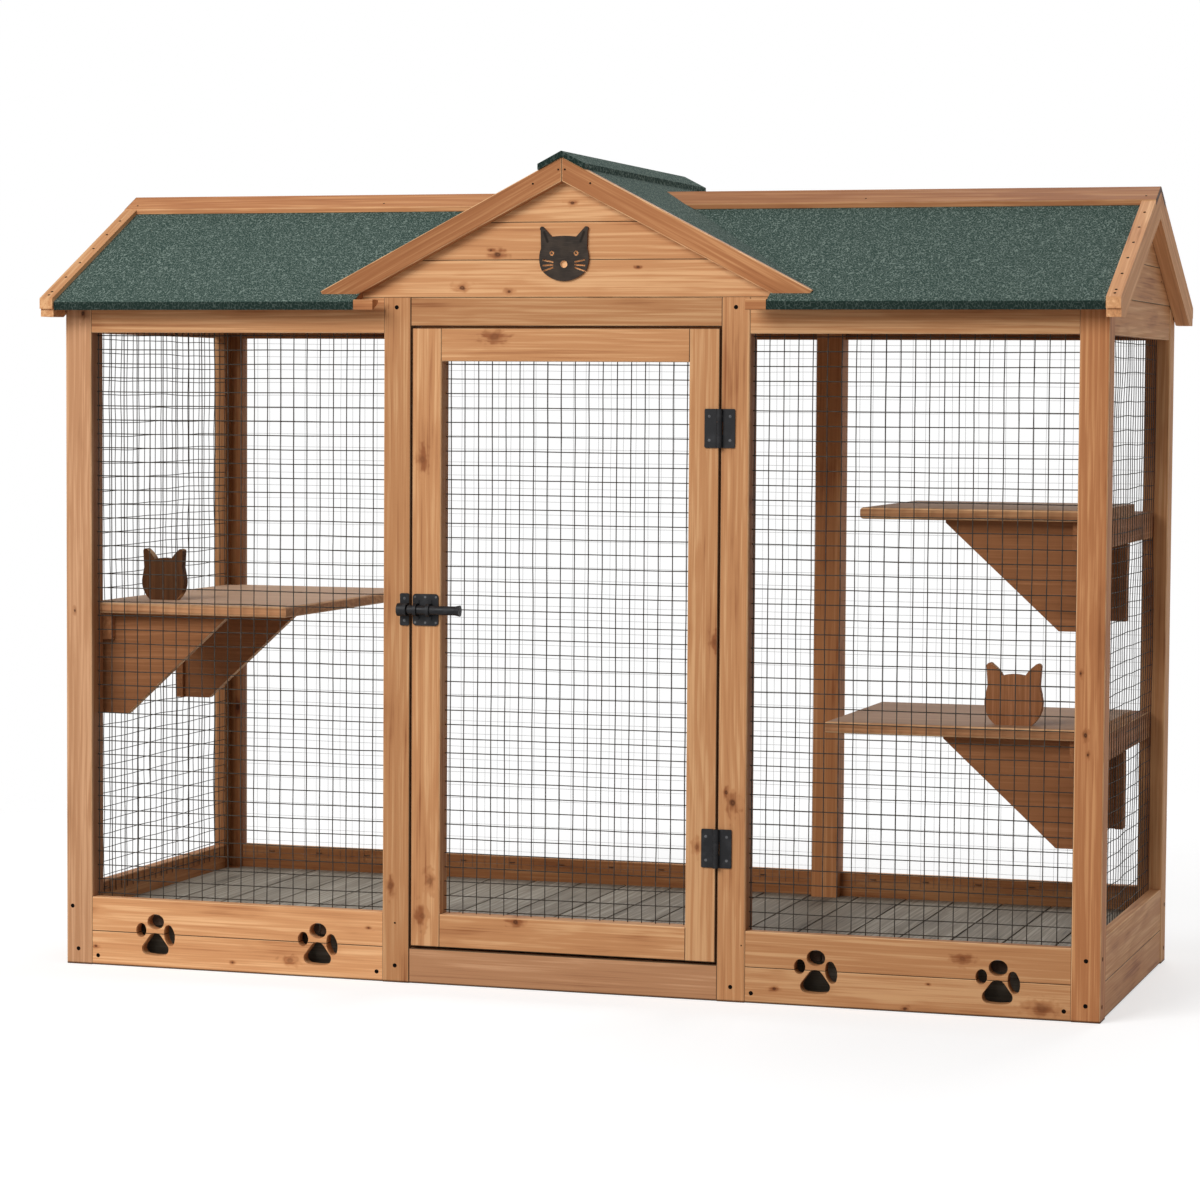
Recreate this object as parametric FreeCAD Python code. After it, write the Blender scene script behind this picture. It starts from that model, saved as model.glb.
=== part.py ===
import FreeCAD, Part
import math
import os

from FreeCAD import Vector

# Outdoor cat enclosure: a timber frame of three bays, wire mesh walls, a felted roof
# with a cross gable over the door, shelves inside and one hinged door with a slide bolt.
# Millimetres. X runs along the width, the door faces -Y, Z is up from the ground.

# Timber frame
WIDTH = 1898.0
POST = 50.0
CORNER_LEG = 24.0
DEPTH = 720.0
FRAME_H = 1212.0
BOARD_T = 22.0
REVEAL = 1.5
EASE = 1.5
RAIL_H = 62.0
HEADER_H = 50.0
SILL_H = 62.0
LOWER_PLANK_H = 62.0
FRONT_UPPER_PLANK_H = 62.0
SIDE_UPPER_PLANK_H = 76.0

# Paw cut-outs in the front planks
PAW_INSET = 125.0
PAW_Z = 43.0
PAD_W = 53.0
PAD_H = 41.0

# Floor
FLOOR_Z = 93.0
FLOOR_T = 18.0
FLOOR_BOARDS = 20
FLOOR_GAP = 4.0
FLOOR_FIT = 0.5
JOIST_W = 40.0
JOIST_INSET = 80.0

# Wire mesh, drawn with every fifth wire
MESH_STEP = 127.0
WIRE = 2.4
MESH_LAP = 22.0
MESH_FIT = 0.5

# Main roof
ROOF_PITCH = 26.0
EAVE_OUT = 46.0
DECK_T = 12.0
FELT_T = 2.0
FELT_ROUND = 4.0
ROOF_FIT = 1.0
RIDGE_W = 60.0
RIDGE_T = 9.0
VERGE_W = 25.0
VERGE_H = 33.0
VERGE_CAP_T = 17.0
VERGE_CAP_LIFT = 8.0
VERGE_OUT = 5.0
VERGE_FOOT_DROP = 12.0
GABLE_BOARD_T = 18.0
GABLE_PLANK_H = 65.0

# Cross gable over the door
GABLE_PITCH = 27.3
GABLE_RISE = 241.0
GABLE_LAP = 113.0
BARGE_W = 37.0
BARGE_T = 20.0
CAP_W = 48.0
CAP_T = 9.0
CAP_OUT = 4.0
EAVE_BLOCK_W = 36.0
EAVE_BLOCK_H = 19.0
EAVE_BLOCK_GAP = 4.0
BLOCK_FIT = 0.3

# Cat head emblem on the gable
EMBLEM_W = 90.0
EMBLEM_H = 94.0
EMBLEM_T = 4.0
EMBLEM_Z = 28.0
EYE_R = 4.2
PUPIL_R = 1.8
NOSE_R = 6.3
WHISKER_T = 2.6

# Shelves
SHELF_T = 20.0
SHELF_ROUND = 6.0
SHELF_FRONT = 34.0
SHELF_FIT = 0.5
LEFT_SHELF_Z = 660.0
LEFT_SHELF_W = 390.0
UPPER_SHELF_Z = 856.0
UPPER_SHELF_W = 402.0
LOWER_SHELF_Z = 488.0
LOWER_SHELF_W = 461.0
RIGHT_SHELF_D = 420.0
CLEAT_W = 40.0
CLEAT_H = 48.0
BRACKET_W = 260.0
BRACKET_H = 185.0
BRACKET_TOE = 64.0
BRACKET_TIP = 5.0
BRACKET_T = 18.0
STRIP_W = 34.0
STRIP_T = 13.0
BRACKET_INSET = 40.0
LEFT_BRACKET_STEP = 370.0
RIGHT_BRACKET_STEP = 310.0

# Cat head figures that stand on the shelves
FIGURE_T = 18.0
LEFT_FIGURE_W = 84.0
LEFT_FIGURE_H = 94.0
LEFT_FIGURE_X = 97.0
LEFT_FIGURE_Y = 116.0
RIGHT_FIGURE_W = 99.0
RIGHT_FIGURE_H = 105.0
RIGHT_FIGURE_X = 143.0
RIGHT_FIGURE_Y = 46.0

# Door
DOOR_GAP = 3.0
DOOR_FOOT = 5.0
DOOR_T = 40.0
STILE_W = 54.0
DOOR_RAIL_H = 58.0
DOOR_MESH_Y = 25.0

# Butt hinges
HINGE_H = 67.0
LEAF_W = 27.0
LEAF_T = 2.5
LEAF_ROUND = 2.5
KNUCKLE_R = 5.5
KNUCKLE_CLEAR = 0.5
PIN_R = 2.5
PIN_CLEAR = 0.05
UPPER_HINGE_Z = 988.0
LOWER_HINGE_Z = 265.0

# Slide bolt
BOLT_Z = 664.0
BOLT_R = 8.0
BOLT_STAND = 12.5
BOLT_TAIL = 44.0
BOLT_EASE = 1.5
KNOB_R = 10.0
KNOB_L = 9.0
BOLT_CLEAR = 0.35
PLATE_W = 48.0
PLATE_H = 56.0
PLATE_T = 2.5
PLATE_ROUND = 6.0
PLATE_INSET = 3.0
STRAP_W = 6.0
STRAP_T = 3.0
STRAP_FOOT = 6.0
KEEPER_W = 17.0
KEEPER_H = 57.0
KEEPER_GAP = 1.0
KEEPER_WALL = 2.6
KEEPER_CLEAR = 0.8

# Places that follow from the sizes above
BAY = (WIDTH - 4 * POST) / 3
X_OUT = WIDTH / 2
X_IN = X_OUT - POST
X_MID = BAY / 2
X_MID_OUT = X_MID + POST
Y_FRONT = -DEPTH / 2
Y_BACK = DEPTH / 2
FACE_BACK = REVEAL + BOARD_T
RAIL_Z = FRAME_H - RAIL_H
HEADER_Z = FRAME_H - HEADER_H
FRONT_PLINTH = LOWER_PLANK_H + FRONT_UPPER_PLANK_H
SIDE_PLINTH = LOWER_PLANK_H + SIDE_UPPER_PLANK_H
X_WALL = X_OUT - FACE_BACK
X_SHELF = X_WALL - WIRE - SHELF_FIT
ROOF_TAN = math.tan(math.radians(ROOF_PITCH))
ROOF_COS = math.cos(math.radians(ROOF_PITCH))
GABLE_TAN = math.tan(math.radians(GABLE_PITCH))
GABLE_COS = math.cos(math.radians(GABLE_PITCH))
GABLE_SIN = math.sin(math.radians(GABLE_PITCH))
COVER_T = DECK_T + FELT_T
X_DECK = X_OUT + ROOF_FIT
X_VERGE = X_DECK + VERGE_W
X_ROOF_IN = X_MID_OUT + EAVE_BLOCK_GAP + EAVE_BLOCK_W
Y_EAVE = DEPTH / 2 + EAVE_OUT
GABLE_HALF = X_MID_OUT + GABLE_LAP
GABLE_TOP = FRAME_H + GABLE_RISE
FAR = 3 * WIDTH

os.makedirs("parts", exist_ok=True)


def block(x0, x1, y0, y1, z0, z1):
    """A plain box between two corners, given in either order."""
    low = Vector(min(x0, x1), min(y0, y1), min(z0, z1))
    return Part.makeBox(abs(x1 - x0), abs(y1 - y0), abs(z1 - z0), low)


def ease(shape, axis, size=EASE):
    """Breaks the long edges that run along one axis with a small chamfer."""
    edges = []
    for edge in shape.Edges:
        run = edge.Vertexes[-1].Point - edge.Vertexes[0].Point
        if run.Length > 4 * size and run.cross(axis).Length < size / 4:
            edges.append(edge)
    return shape.makeChamfer(size, edges)


def along_x(points, x0, x1):
    """A solid of one (y, z) outline between two X planes."""
    corners = [Vector(min(x0, x1), y, z) for y, z in points]
    face = Part.Face(Part.makePolygon(corners + corners[:1]))
    return face.extrude(Vector(abs(x1 - x0), 0, 0))


def along_y(points, y0, y1):
    """A solid of one (x, z) outline between two Y planes."""
    corners = [Vector(x, min(y0, y1), z) for x, z in points]
    face = Part.Face(Part.makePolygon(corners + corners[:1]))
    return face.extrude(Vector(0, abs(y1 - y0), 0))


def mirror_x(shape):
    return shape.mirror(Vector(0, 0, 0), Vector(1, 0, 0))


def mirror_y(shape):
    return shape.mirror(Vector(0, 0, 0), Vector(0, 1, 0))


def save(name, shapes):
    """Writes one node, a single solid or a group of separate solids."""
    solids = []
    for shape in shapes:
        solids.extend(shape.Solids)
    whole = solids[0] if len(solids) == 1 else Part.makeCompound(solids)
    whole.exportStep("parts/" + name + ".step")


X_DIR = Vector(1, 0, 0)
Y_DIR = Vector(0, 1, 0)
Z_DIR = Vector(0, 0, 1)


def roof_under(y):
    """Height of the main roof's underside above a point across the depth."""
    return FRAME_H + (DEPTH / 2 - abs(y)) * ROOF_TAN


def roof_at(y, lift):
    """Height of a layer that lies a square distance above that underside."""
    return roof_under(y) + lift / ROOF_COS


def gable_at(x, lift):
    """Height of a gable layer, measured square to the slope from the felt's top."""
    return GABLE_TOP - abs(x) * GABLE_TAN + lift / GABLE_COS


def roof_slab(y0, y1, low, high, x0, x1):
    """A sloping layer of the front half of the main roof, with plumb ends."""
    points = [(y0, roof_at(y0, low)), (y1, roof_at(y1, low))]
    points += [(y1, roof_at(y1, high)), (y0, roof_at(y0, high))]
    return along_x(points, x0, x1)


def below_roof(x0, x1, lift=0.0):
    """Everything under the main roof's felt, used to trim what stands on the roof."""
    top = COVER_T + lift
    points = [(-FAR, roof_at(-FAR, top)), (0, roof_at(0, top)), (FAR, roof_at(FAR, top))]
    points += [(FAR, -FAR), (-FAR, -FAR)]
    return along_x(points, x0, x1)


def below_gable(half, lift):
    """Everything under a layer of the cross gable, out to a half width."""
    points = [(-half, gable_at(half, lift)), (0, gable_at(0, lift)), (half, gable_at(half, lift))]
    points += [(half, -FAR), (-half, -FAR)]
    return along_y(points, -FAR, FAR)


# Posts: the corner posts are cut to the roof's slope, the middle ones are square
def corner_post():
    y_in = Y_FRONT + POST
    points = [(Y_FRONT, 0), (y_in, 0), (y_in, roof_under(y_in)), (Y_FRONT, roof_under(Y_FRONT))]
    return ease(along_x(points, X_IN, X_OUT), Z_DIR)


def rebated_post():
    """A corner post that is planed out to an L above the floor, on its inner corner."""
    y_leg = Y_FRONT + CORNER_LEG
    hollow = block(X_IN, X_OUT - CORNER_LEG, y_leg, Y_FRONT + POST, FLOOR_Z, FAR)
    return corner_post().cut(hollow)


def middle_post(y0, y1):
    return ease(block(X_MID, X_MID_OUT, y0, y1, 0, FRAME_H), Z_DIR)


right_corner = corner_post()
front_middle = middle_post(Y_FRONT, Y_FRONT + POST)
save("front_right_post", [right_corner])
save("front_left_post", [mirror_x(right_corner)])
rear_corner = mirror_y(rebated_post())
save("rear_right_post", [rear_corner])
save("rear_left_post", [mirror_x(rear_corner)])
save("front_mid_right_post", [front_middle])
save("front_mid_left_post", [mirror_x(front_middle)])
save("rear_mid_post", [middle_post(Y_BACK - POST, Y_BACK)])


# Rails under the roof: the top edge is planed to the roof's slope, and flat below the gable
def eave_rail(x0, x1):
    y0 = Y_FRONT + REVEAL
    y1 = y0 + BOARD_T
    points = [(y0, RAIL_Z), (y1, RAIL_Z), (y1, roof_under(y1)), (y0, roof_under(y0))]
    rail = ease(along_x(points, x0, x1), X_DIR)
    return rail.cut(block(-X_ROOF_IN, X_ROOF_IN, -FAR, FAR, FRAME_H, FAR))


def flat_rail(x0, x1, z0, z1):
    y0 = Y_FRONT + REVEAL
    return ease(block(x0, x1, y0, y0 + BOARD_T, z0, z1), X_DIR)


right_rail = eave_rail(X_MID_OUT, X_IN)
save("front_right_top_rail", [right_rail])
save("front_left_top_rail", [mirror_x(right_rail)])
save("door_header", [flat_rail(-X_MID, X_MID, HEADER_Z, FRAME_H)])
save("door_sill", [flat_rail(-X_MID, X_MID, 0, SILL_H)])
save("rear_top_rails", [mirror_y(eave_rail(-X_IN, X_MID)), mirror_y(right_rail)])


def side_board(z0, z1):
    """A board of the right side wall, between the corner posts."""
    x1 = X_OUT - REVEAL
    return ease(block(x1 - BOARD_T, x1, Y_FRONT + POST, Y_BACK - POST, z0, z1), Y_DIR)


side_rail = side_board(RAIL_Z, FRAME_H)
side_planks = [side_board(0, LOWER_PLANK_H), side_board(LOWER_PLANK_H, SIDE_PLINTH)]
save("right_side_top_rail", [side_rail])
save("left_side_top_rail", [mirror_x(side_rail)])
save("right_side_plinth", side_planks)
save("left_side_plinth", [mirror_x(plank) for plank in side_planks])


# Paw print: a rounded pad and three toes, cut through both front planks
def arc(a, b, c):
    return Part.Arc(Vector(a[0], 0, a[1]), Vector(b[0], 0, b[1]), Vector(c[0], 0, c[1])).toShape()


def line(a, b):
    return Part.LineSegment(Vector(a[0], 0, a[1]), Vector(b[0], 0, b[1])).toShape()


def toe(x, z, half_w, half_h, lean):
    """An oval through-cut of four arcs, leaning by an angle in the plank's plane."""
    rim = []
    for step in range(8):
        turn = math.radians(45 * step)
        rim.append((half_w * math.cos(turn), half_h * math.sin(turn)))
    arcs = [arc(rim[k - 1], rim[k], rim[(k + 1) % 8]) for k in (0, 2, 4, 6)]
    face = Part.Face(Part.Wire(arcs))
    face.rotate(Vector(0, 0, 0), Y_DIR, lean)
    face.translate(Vector(x, -BOARD_T, z))
    return face.extrude(Vector(0, 3 * BOARD_T, 0))


def paw_cut(x):
    w = PAD_W
    h = PAD_H
    outline = [
        arc((-0.22 * w, 0.37 * h), (0, 0.50 * h), (0.22 * w, 0.37 * h)),
        line((0.22 * w, 0.37 * h), (0.46 * w, -0.05 * h)),
        arc((0.46 * w, -0.05 * h), (0.48 * w, -0.32 * h), (0.30 * w, -0.48 * h)),
        arc((0.30 * w, -0.48 * h), (0, -0.51 * h), (-0.30 * w, -0.48 * h)),
        arc((-0.30 * w, -0.48 * h), (-0.48 * w, -0.32 * h), (-0.46 * w, -0.05 * h)),
        line((-0.46 * w, -0.05 * h), (-0.22 * w, 0.37 * h)),
    ]
    pad = Part.Face(Part.Wire(outline))
    pad.translate(Vector(0, -BOARD_T, 0))
    cuts = [pad.extrude(Vector(0, 3 * BOARD_T, 0))]
    cuts.append(toe(-0.52 * w, 0.60 * h, 0.19 * w, 0.32 * h, 4))
    cuts.append(toe(0.02 * w, 1.00 * h, 0.31 * w, 0.34 * h, 0))
    cuts.append(toe(0.53 * w, 0.42 * h, 0.20 * w, 0.47 * h, -10))
    for cut in cuts:
        cut.translate(Vector(x, Y_FRONT, PAW_Z))
    return cuts


def front_plinth():
    """The two planks of the right front bay, with a paw print near each end."""
    planks = [flat_rail(X_MID_OUT, X_IN, 0, LOWER_PLANK_H)]
    planks.append(flat_rail(X_MID_OUT, X_IN, LOWER_PLANK_H, FRONT_PLINTH))
    cuts = paw_cut(X_MID_OUT + PAW_INSET) + paw_cut(X_IN - PAW_INSET)
    return [plank.cut(cuts) for plank in planks]


right_plinth = front_plinth()
save("front_right_plinth", right_plinth)
left_plinth = []
for plank in right_plinth:
    left_plinth.append(plank.translated(Vector(-X_MID_OUT - X_IN, 0, 0)))
save("front_left_plinth", left_plinth)

rear_planks = []
for x0, x1 in [(-X_IN, X_MID), (X_MID_OUT, X_IN)]:
    rear_planks.append(mirror_y(flat_rail(x0, x1, 0, LOWER_PLANK_H)))
    rear_planks.append(mirror_y(flat_rail(x0, x1, LOWER_PLANK_H, SIDE_PLINTH)))
save("rear_plinth", rear_planks)


# Floor: boards that run front to back on three joists, notched round the posts and the door bay
def floor():
    half = X_WALL - FLOOR_FIT
    y_half = Y_BACK - FACE_BACK - FLOOR_FIT
    pitch = 2 * half / FLOOR_BOARDS
    notch = POST + FLOOR_FIT
    posts = []
    for sign_y in (-1, 1):
        y0 = sign_y * (DEPTH / 2 - notch)
        y1 = sign_y * DEPTH
        posts.append(block(-X_OUT, -X_IN + FLOOR_FIT, y0, y1, 0, FRAME_H))
        posts.append(block(X_IN - FLOOR_FIT, X_OUT, y0, y1, 0, FRAME_H))
    rear_notch = Y_BACK - notch
    posts.append(block(X_MID - FLOOR_FIT, X_MID_OUT + FLOOR_FIT, rear_notch, DEPTH, 0, FRAME_H))
    door_bay = X_MID_OUT + FLOOR_FIT
    posts.append(block(-door_bay, door_bay, -DEPTH, Y_FRONT + notch, 0, FRAME_H))
    boards = []
    for i in range(FLOOR_BOARDS):
        x0 = -half + i * pitch + FLOOR_GAP / 2
        x1 = x0 + pitch - FLOOR_GAP
        boards.append(block(x0, x1, -y_half, y_half, FLOOR_Z - FLOOR_T, FLOOR_Z).cut(posts))
    joists = []
    for y in (Y_FRONT + JOIST_INSET, -JOIST_W / 2, Y_BACK - JOIST_INSET - JOIST_W):
        joists.append(block(-half, half, y, y + JOIST_W, 0, FLOOR_Z - FLOOR_T))
    return boards, joists


floor_boards, floor_joists = floor()
save("floor_boards", floor_boards)
save("floor_joists", floor_joists)


# Wire mesh: one holed face for each panel, stapled to the backs of the rails
def mesh_face(width, height):
    """A flat net in the XZ plane, centred on X, standing on z = 0."""
    columns = max(1, int(width / MESH_STEP))
    rows = max(1, int(height / MESH_STEP))
    step_x = (width - WIRE) / columns
    step_z = (height - WIRE) / rows
    wires = []
    corners = [(-width / 2, 0), (width / 2, 0), (width / 2, height), (-width / 2, height)]
    edge = [Vector(x, 0, z) for x, z in corners]
    wires.append(Part.makePolygon(edge + edge[:1]))
    for i in range(columns):
        for j in range(rows):
            x0 = -width / 2 + WIRE + i * step_x
            z0 = WIRE + j * step_z
            x1 = x0 + step_x - WIRE
            z1 = z0 + step_z - WIRE
            hole = [Vector(x0, 0, z0), Vector(x0, 0, z1), Vector(x1, 0, z1), Vector(x1, 0, z0)]
            wires.append(Part.makePolygon(hole + hole[:1]))
    return Part.Face(wires)


def front_mesh(x0, x1, y, z0, z1):
    net = mesh_face(x1 - x0, z1 - z0).extrude(Vector(0, WIRE, 0))
    net.translate(Vector((x0 + x1) / 2, y, z0))
    return net


def side_mesh():
    y_run = DEPTH - 2 * POST - 2 * MESH_FIT
    z0 = SIDE_PLINTH - MESH_LAP
    net = mesh_face(y_run, RAIL_Z + MESH_LAP - z0).extrude(Vector(0, WIRE, 0))
    net.rotate(Vector(0, 0, 0), Z_DIR, 90)
    net.translate(Vector(X_WALL, 0, z0))
    return net


mesh_top = RAIL_Z + MESH_LAP
mesh_x0 = X_MID_OUT + MESH_FIT
mesh_x1 = X_IN - MESH_FIT
right_mesh = front_mesh(mesh_x0, mesh_x1, Y_FRONT + FACE_BACK, FRONT_PLINTH - MESH_LAP, mesh_top)
save("front_right_mesh", [right_mesh])
save("front_left_mesh", [mirror_x(right_mesh)])
right_side_net = side_mesh()
save("right_side_mesh", [right_side_net])
save("left_side_mesh", [mirror_x(right_side_net)])
y_rear_mesh = Y_BACK - FACE_BACK - WIRE
z_rear_mesh = SIDE_PLINTH - MESH_LAP
rear_left_net = front_mesh(-mesh_x1, X_MID - MESH_FIT, y_rear_mesh, z_rear_mesh, mesh_top)
save("rear_left_mesh", [rear_left_net])
save("rear_right_mesh", [front_mesh(mesh_x0, mesh_x1, y_rear_mesh, z_rear_mesh, mesh_top)])


# Main roof: boarded decks with felt turned down over the eave, cut along the valleys
def main_deck():
    deck = roof_slab(-Y_EAVE, 0, 0, DECK_T, 0, X_DECK)
    return deck.cut(below_gable(X_ROOF_IN, -COVER_T))


def main_felt():
    lip = -Y_EAVE - FELT_T
    points = [(0, roof_at(0, DECK_T)), (0, roof_at(0, COVER_T)), (lip, roof_at(lip, COVER_T))]
    points += [(lip, roof_at(-Y_EAVE, 0)), (-Y_EAVE, roof_at(-Y_EAVE, 0))]
    points += [(-Y_EAVE, roof_at(-Y_EAVE, DECK_T))]
    sheet = along_x(points, 0, X_DECK)
    fold = []
    for edge in sheet.Edges:
        middle = edge.CenterOfMass
        if abs(middle.y - lip) < FELT_T / 2 and abs(middle.z - roof_at(lip, COVER_T)) < FELT_T / 2:
            fold.append(edge)
    return sheet.makeFillet(FELT_ROUND, fold).cut(below_gable(X_ROOF_IN, -COVER_T))


def main_ridge():
    board = roof_slab(-RIDGE_W * ROOF_COS, 0, COVER_T, COVER_T + RIDGE_T, 0, X_VERGE)
    return ease(board, X_DIR).cut(below_gable(GABLE_HALF, 0))


deck = main_deck()
felt = main_felt()
ridge = main_ridge()
save("right_roof_decks", [deck, mirror_y(deck)])
save("left_roof_decks", [mirror_x(deck), mirror_x(mirror_y(deck))])
save("right_roof_felt", [felt, mirror_y(felt)])
save("left_roof_felt", [mirror_x(felt), mirror_x(mirror_y(felt))])
save("main_ridge_boards", [ridge, mirror_y(ridge), mirror_x(ridge), mirror_x(mirror_y(ridge))])


def verge():
    """The board that closes the roof's end, and the nailed strip on top of it."""
    board_top = COVER_T + VERGE_CAP_LIFT - VERGE_CAP_T
    y_foot = -Y_EAVE - FELT_T
    board = roof_slab(y_foot, 0, board_top - VERGE_H, board_top, X_DECK, X_VERGE)
    foot_z = roof_under(-Y_EAVE) - VERGE_FOOT_DROP
    board = board.cut(block(-FAR, FAR, -FAR, 0, -FAR, foot_z))
    y_ridge = -RIDGE_W * ROOF_COS
    strip = roof_slab(y_foot - VERGE_OUT, y_ridge, board_top, COVER_T + VERGE_CAP_LIFT, X_DECK, X_VERGE)
    under_ridge = roof_slab(y_ridge, 0, board_top, COVER_T, X_DECK, X_VERGE)
    return [board, strip.fuse(under_ridge).removeSplitter()]


verge_pair = verge()
right_verge = verge_pair + [mirror_y(piece) for piece in verge_pair]
save("right_verge_boards", right_verge)
save("left_verge_boards", [mirror_x(piece) for piece in right_verge])


def side_gable():
    """Two boards that close the right end wall between its rail and the roof."""
    x1 = X_OUT
    x0 = x1 - GABLE_BOARD_T
    y_post = DEPTH / 2 - POST
    z_post = roof_under(y_post)
    z_joint = FRAME_H + GABLE_PLANK_H
    y_joint = DEPTH / 2 - GABLE_PLANK_H / ROOF_TAN
    low = [(-y_post, FRAME_H), (y_post, FRAME_H), (y_post, z_post), (y_joint, z_joint)]
    low += [(-y_joint, z_joint), (-y_post, z_post)]
    high = [(-y_joint, z_joint), (y_joint, z_joint), (0, roof_under(0))]
    return [ease(along_x(points, x0, x1), Y_DIR) for points in (low, high)]


right_gable = side_gable()
save("right_gable_boards", right_gable)
save("left_gable_boards", [mirror_x(board) for board in right_gable])


# Cross gable: deck and felt on both slopes, ending on the main roof along the valleys
def gable_layer(low, high):
    points = [(0, gable_at(0, low)), (GABLE_HALF, gable_at(GABLE_HALF, low))]
    points += [(GABLE_HALF, gable_at(GABLE_HALF, high)), (0, gable_at(0, high))]
    layer = along_y(points, Y_FRONT, Y_BACK)
    return layer.cut(below_roof(-FAR, FAR))


gable_deck = gable_layer(-COVER_T, -FELT_T)
gable_felt = gable_layer(-FELT_T, 0)
save("gable_roof_decks", [gable_deck, mirror_x(gable_deck)])
save("gable_roof_felt", [gable_felt, mirror_x(gable_felt)])


def gable_cap():
    """The felted ridge cap, one folded strip along the gable's ridge."""
    x_lip = CAP_W * GABLE_COS
    points = [(-x_lip, gable_at(x_lip, 0)), (0, gable_at(0, 0)), (x_lip, gable_at(x_lip, 0))]
    points += [(x_lip, gable_at(x_lip, CAP_T)), (0, gable_at(0, CAP_T)), (-x_lip, gable_at(x_lip, CAP_T))]
    reach = DEPTH / 2 + BARGE_T + CAP_OUT
    return along_y(points, -reach, reach)


save("gable_ridge_cap", [gable_cap()])


def barge():
    """The right barge board on the front of the gable, its foot cut to the roof."""
    points = [(0, gable_at(0, 0)), (GABLE_HALF, gable_at(GABLE_HALF, 0))]
    foot_x = GABLE_HALF - BARGE_W * GABLE_SIN
    points += [(foot_x, gable_at(GABLE_HALF, 0) - BARGE_W * GABLE_COS), (0, gable_at(0, -BARGE_W))]
    y_face = Y_FRONT - BARGE_T
    board = along_y(points, y_face, Y_FRONT)
    rim = [edge for edge in board.Edges if abs(edge.CenterOfMass.y - y_face) < EASE]
    board = board.makeChamfer(EASE, rim)
    return board.cut(below_roof(X_ROOF_IN - EAVE_BLOCK_W, FAR))


barge_right = barge()
barges = [barge_right, mirror_x(barge_right)]
save("gable_barge_boards", barges + [mirror_y(board) for board in barges])


def pediment():
    """Three boards that close the gable over the door, trimmed to sit on the roof."""
    boards = []
    z0 = FRAME_H
    apex = gable_at(0, -COVER_T)
    while z0 < apex:
        z1 = min(z0 + GABLE_PLANK_H, apex)
        if apex - z1 < GABLE_PLANK_H / 2:
            z1 = apex
        half0 = (apex - z0) / GABLE_TAN
        half1 = (apex - z1) / GABLE_TAN
        points = [(-half0, z0), (half0, z0), (half1, z1), (-half1, z1)]
        if z1 == apex:
            points = [(-half0, z0), (half0, z0), (0, z1)]
        board = ease(along_y(points, Y_FRONT, Y_FRONT + GABLE_BOARD_T), X_DIR)
        boards.append(board.cut([below_roof(X_ROOF_IN, FAR), below_roof(-FAR, -X_ROOF_IN)]))
        z0 = z1
    return boards


gable_boards = pediment()
save("front_gable_boards", gable_boards)
save("rear_gable_boards", [mirror_y(board) for board in gable_boards])


def eave_block():
    """A small block with a level top that closes the eave beside the gable."""
    y0 = -Y_EAVE - FELT_T
    y1 = Y_FRONT - BARGE_T - BLOCK_FIT
    z_top = roof_under(y0) + EAVE_BLOCK_H
    points = [(y0, roof_under(y0)), (y1, roof_under(y1)), (y1, z_top), (y0, z_top)]
    return ease(along_x(points, X_ROOF_IN - EAVE_BLOCK_W, X_ROOF_IN), X_DIR)


right_block = eave_block()
blocks = [right_block, mirror_x(right_block)]
save("eave_end_blocks", blocks + [mirror_y(piece) for piece in blocks])


# Cat head emblem: a thin plate with cut-out eyes, nose and whiskers, and a pupil in each eye
def emblem():
    w = EMBLEM_W
    h = EMBLEM_H
    half = [
        arc((0, 0), (0.30 * w, 0.08 * h), (0.45 * w, 0.20 * h)),
        arc((0.45 * w, 0.20 * h), (0.50 * w, 0.385 * h), (0.465 * w, 0.60 * h)),
        line((0.465 * w, 0.60 * h), (0.475 * w, 0.93 * h)),
        arc((0.475 * w, 0.93 * h), (0.46 * w, h), (0.41 * w, 0.985 * h)),
        line((0.41 * w, 0.985 * h), (0.245 * w, 0.815 * h)),
    ]
    other = [mirror_x(edge) for edge in half]
    brow = arc((0.245 * w, 0.815 * h), (0, 0.83 * h), (-0.245 * w, 0.815 * h))
    outline = Part.Wire(Part.__sortEdges__(half + [brow] + other))
    plate = Part.Face(outline).extrude(Vector(0, EMBLEM_T, 0))
    through = Vector(0, 3 * EMBLEM_T, 0)
    start = Vector(0, -EMBLEM_T, 0)
    cuts = []
    pupils = []
    eye_x = 0.245 * w
    eye_z = 0.51 * h
    rounds = [(-eye_x, eye_z, EYE_R), (eye_x, eye_z, EYE_R), (0, 0.31 * h, NOSE_R)]
    for x, z, radius in rounds:
        circle = Part.makeCircle(radius, Vector(x, 0, z) + start, Y_DIR)
        cuts.append(Part.Face(Part.Wire(circle)).extrude(through))
    for side in (-1, 1):
        pupils.append(Part.makeCylinder(PUPIL_R, EMBLEM_T, Vector(side * eye_x, 0, eye_z), Y_DIR))
        for z_in, z_out in [(0.35, 0.39), (0.30, 0.285), (0.25, 0.18)]:
            inner = Vector(side * 0.215 * w, 0, z_in * h) + start
            outer = Vector(side * 0.43 * w, 0, z_out * h) + start
            broad = Vector(0, 0, WHISKER_T / 2)
            corners = [inner - broad, outer - broad, outer + broad, inner + broad]
            cuts.append(Part.Face(Part.makePolygon(corners + corners[:1])).extrude(through))
    pieces = [plate.cut(cuts)] + pupils
    for piece in pieces:
        piece.translate(Vector(0, Y_FRONT - EMBLEM_T, FRAME_H + EMBLEM_Z))
    return pieces


save("cat_emblem", emblem())


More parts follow.
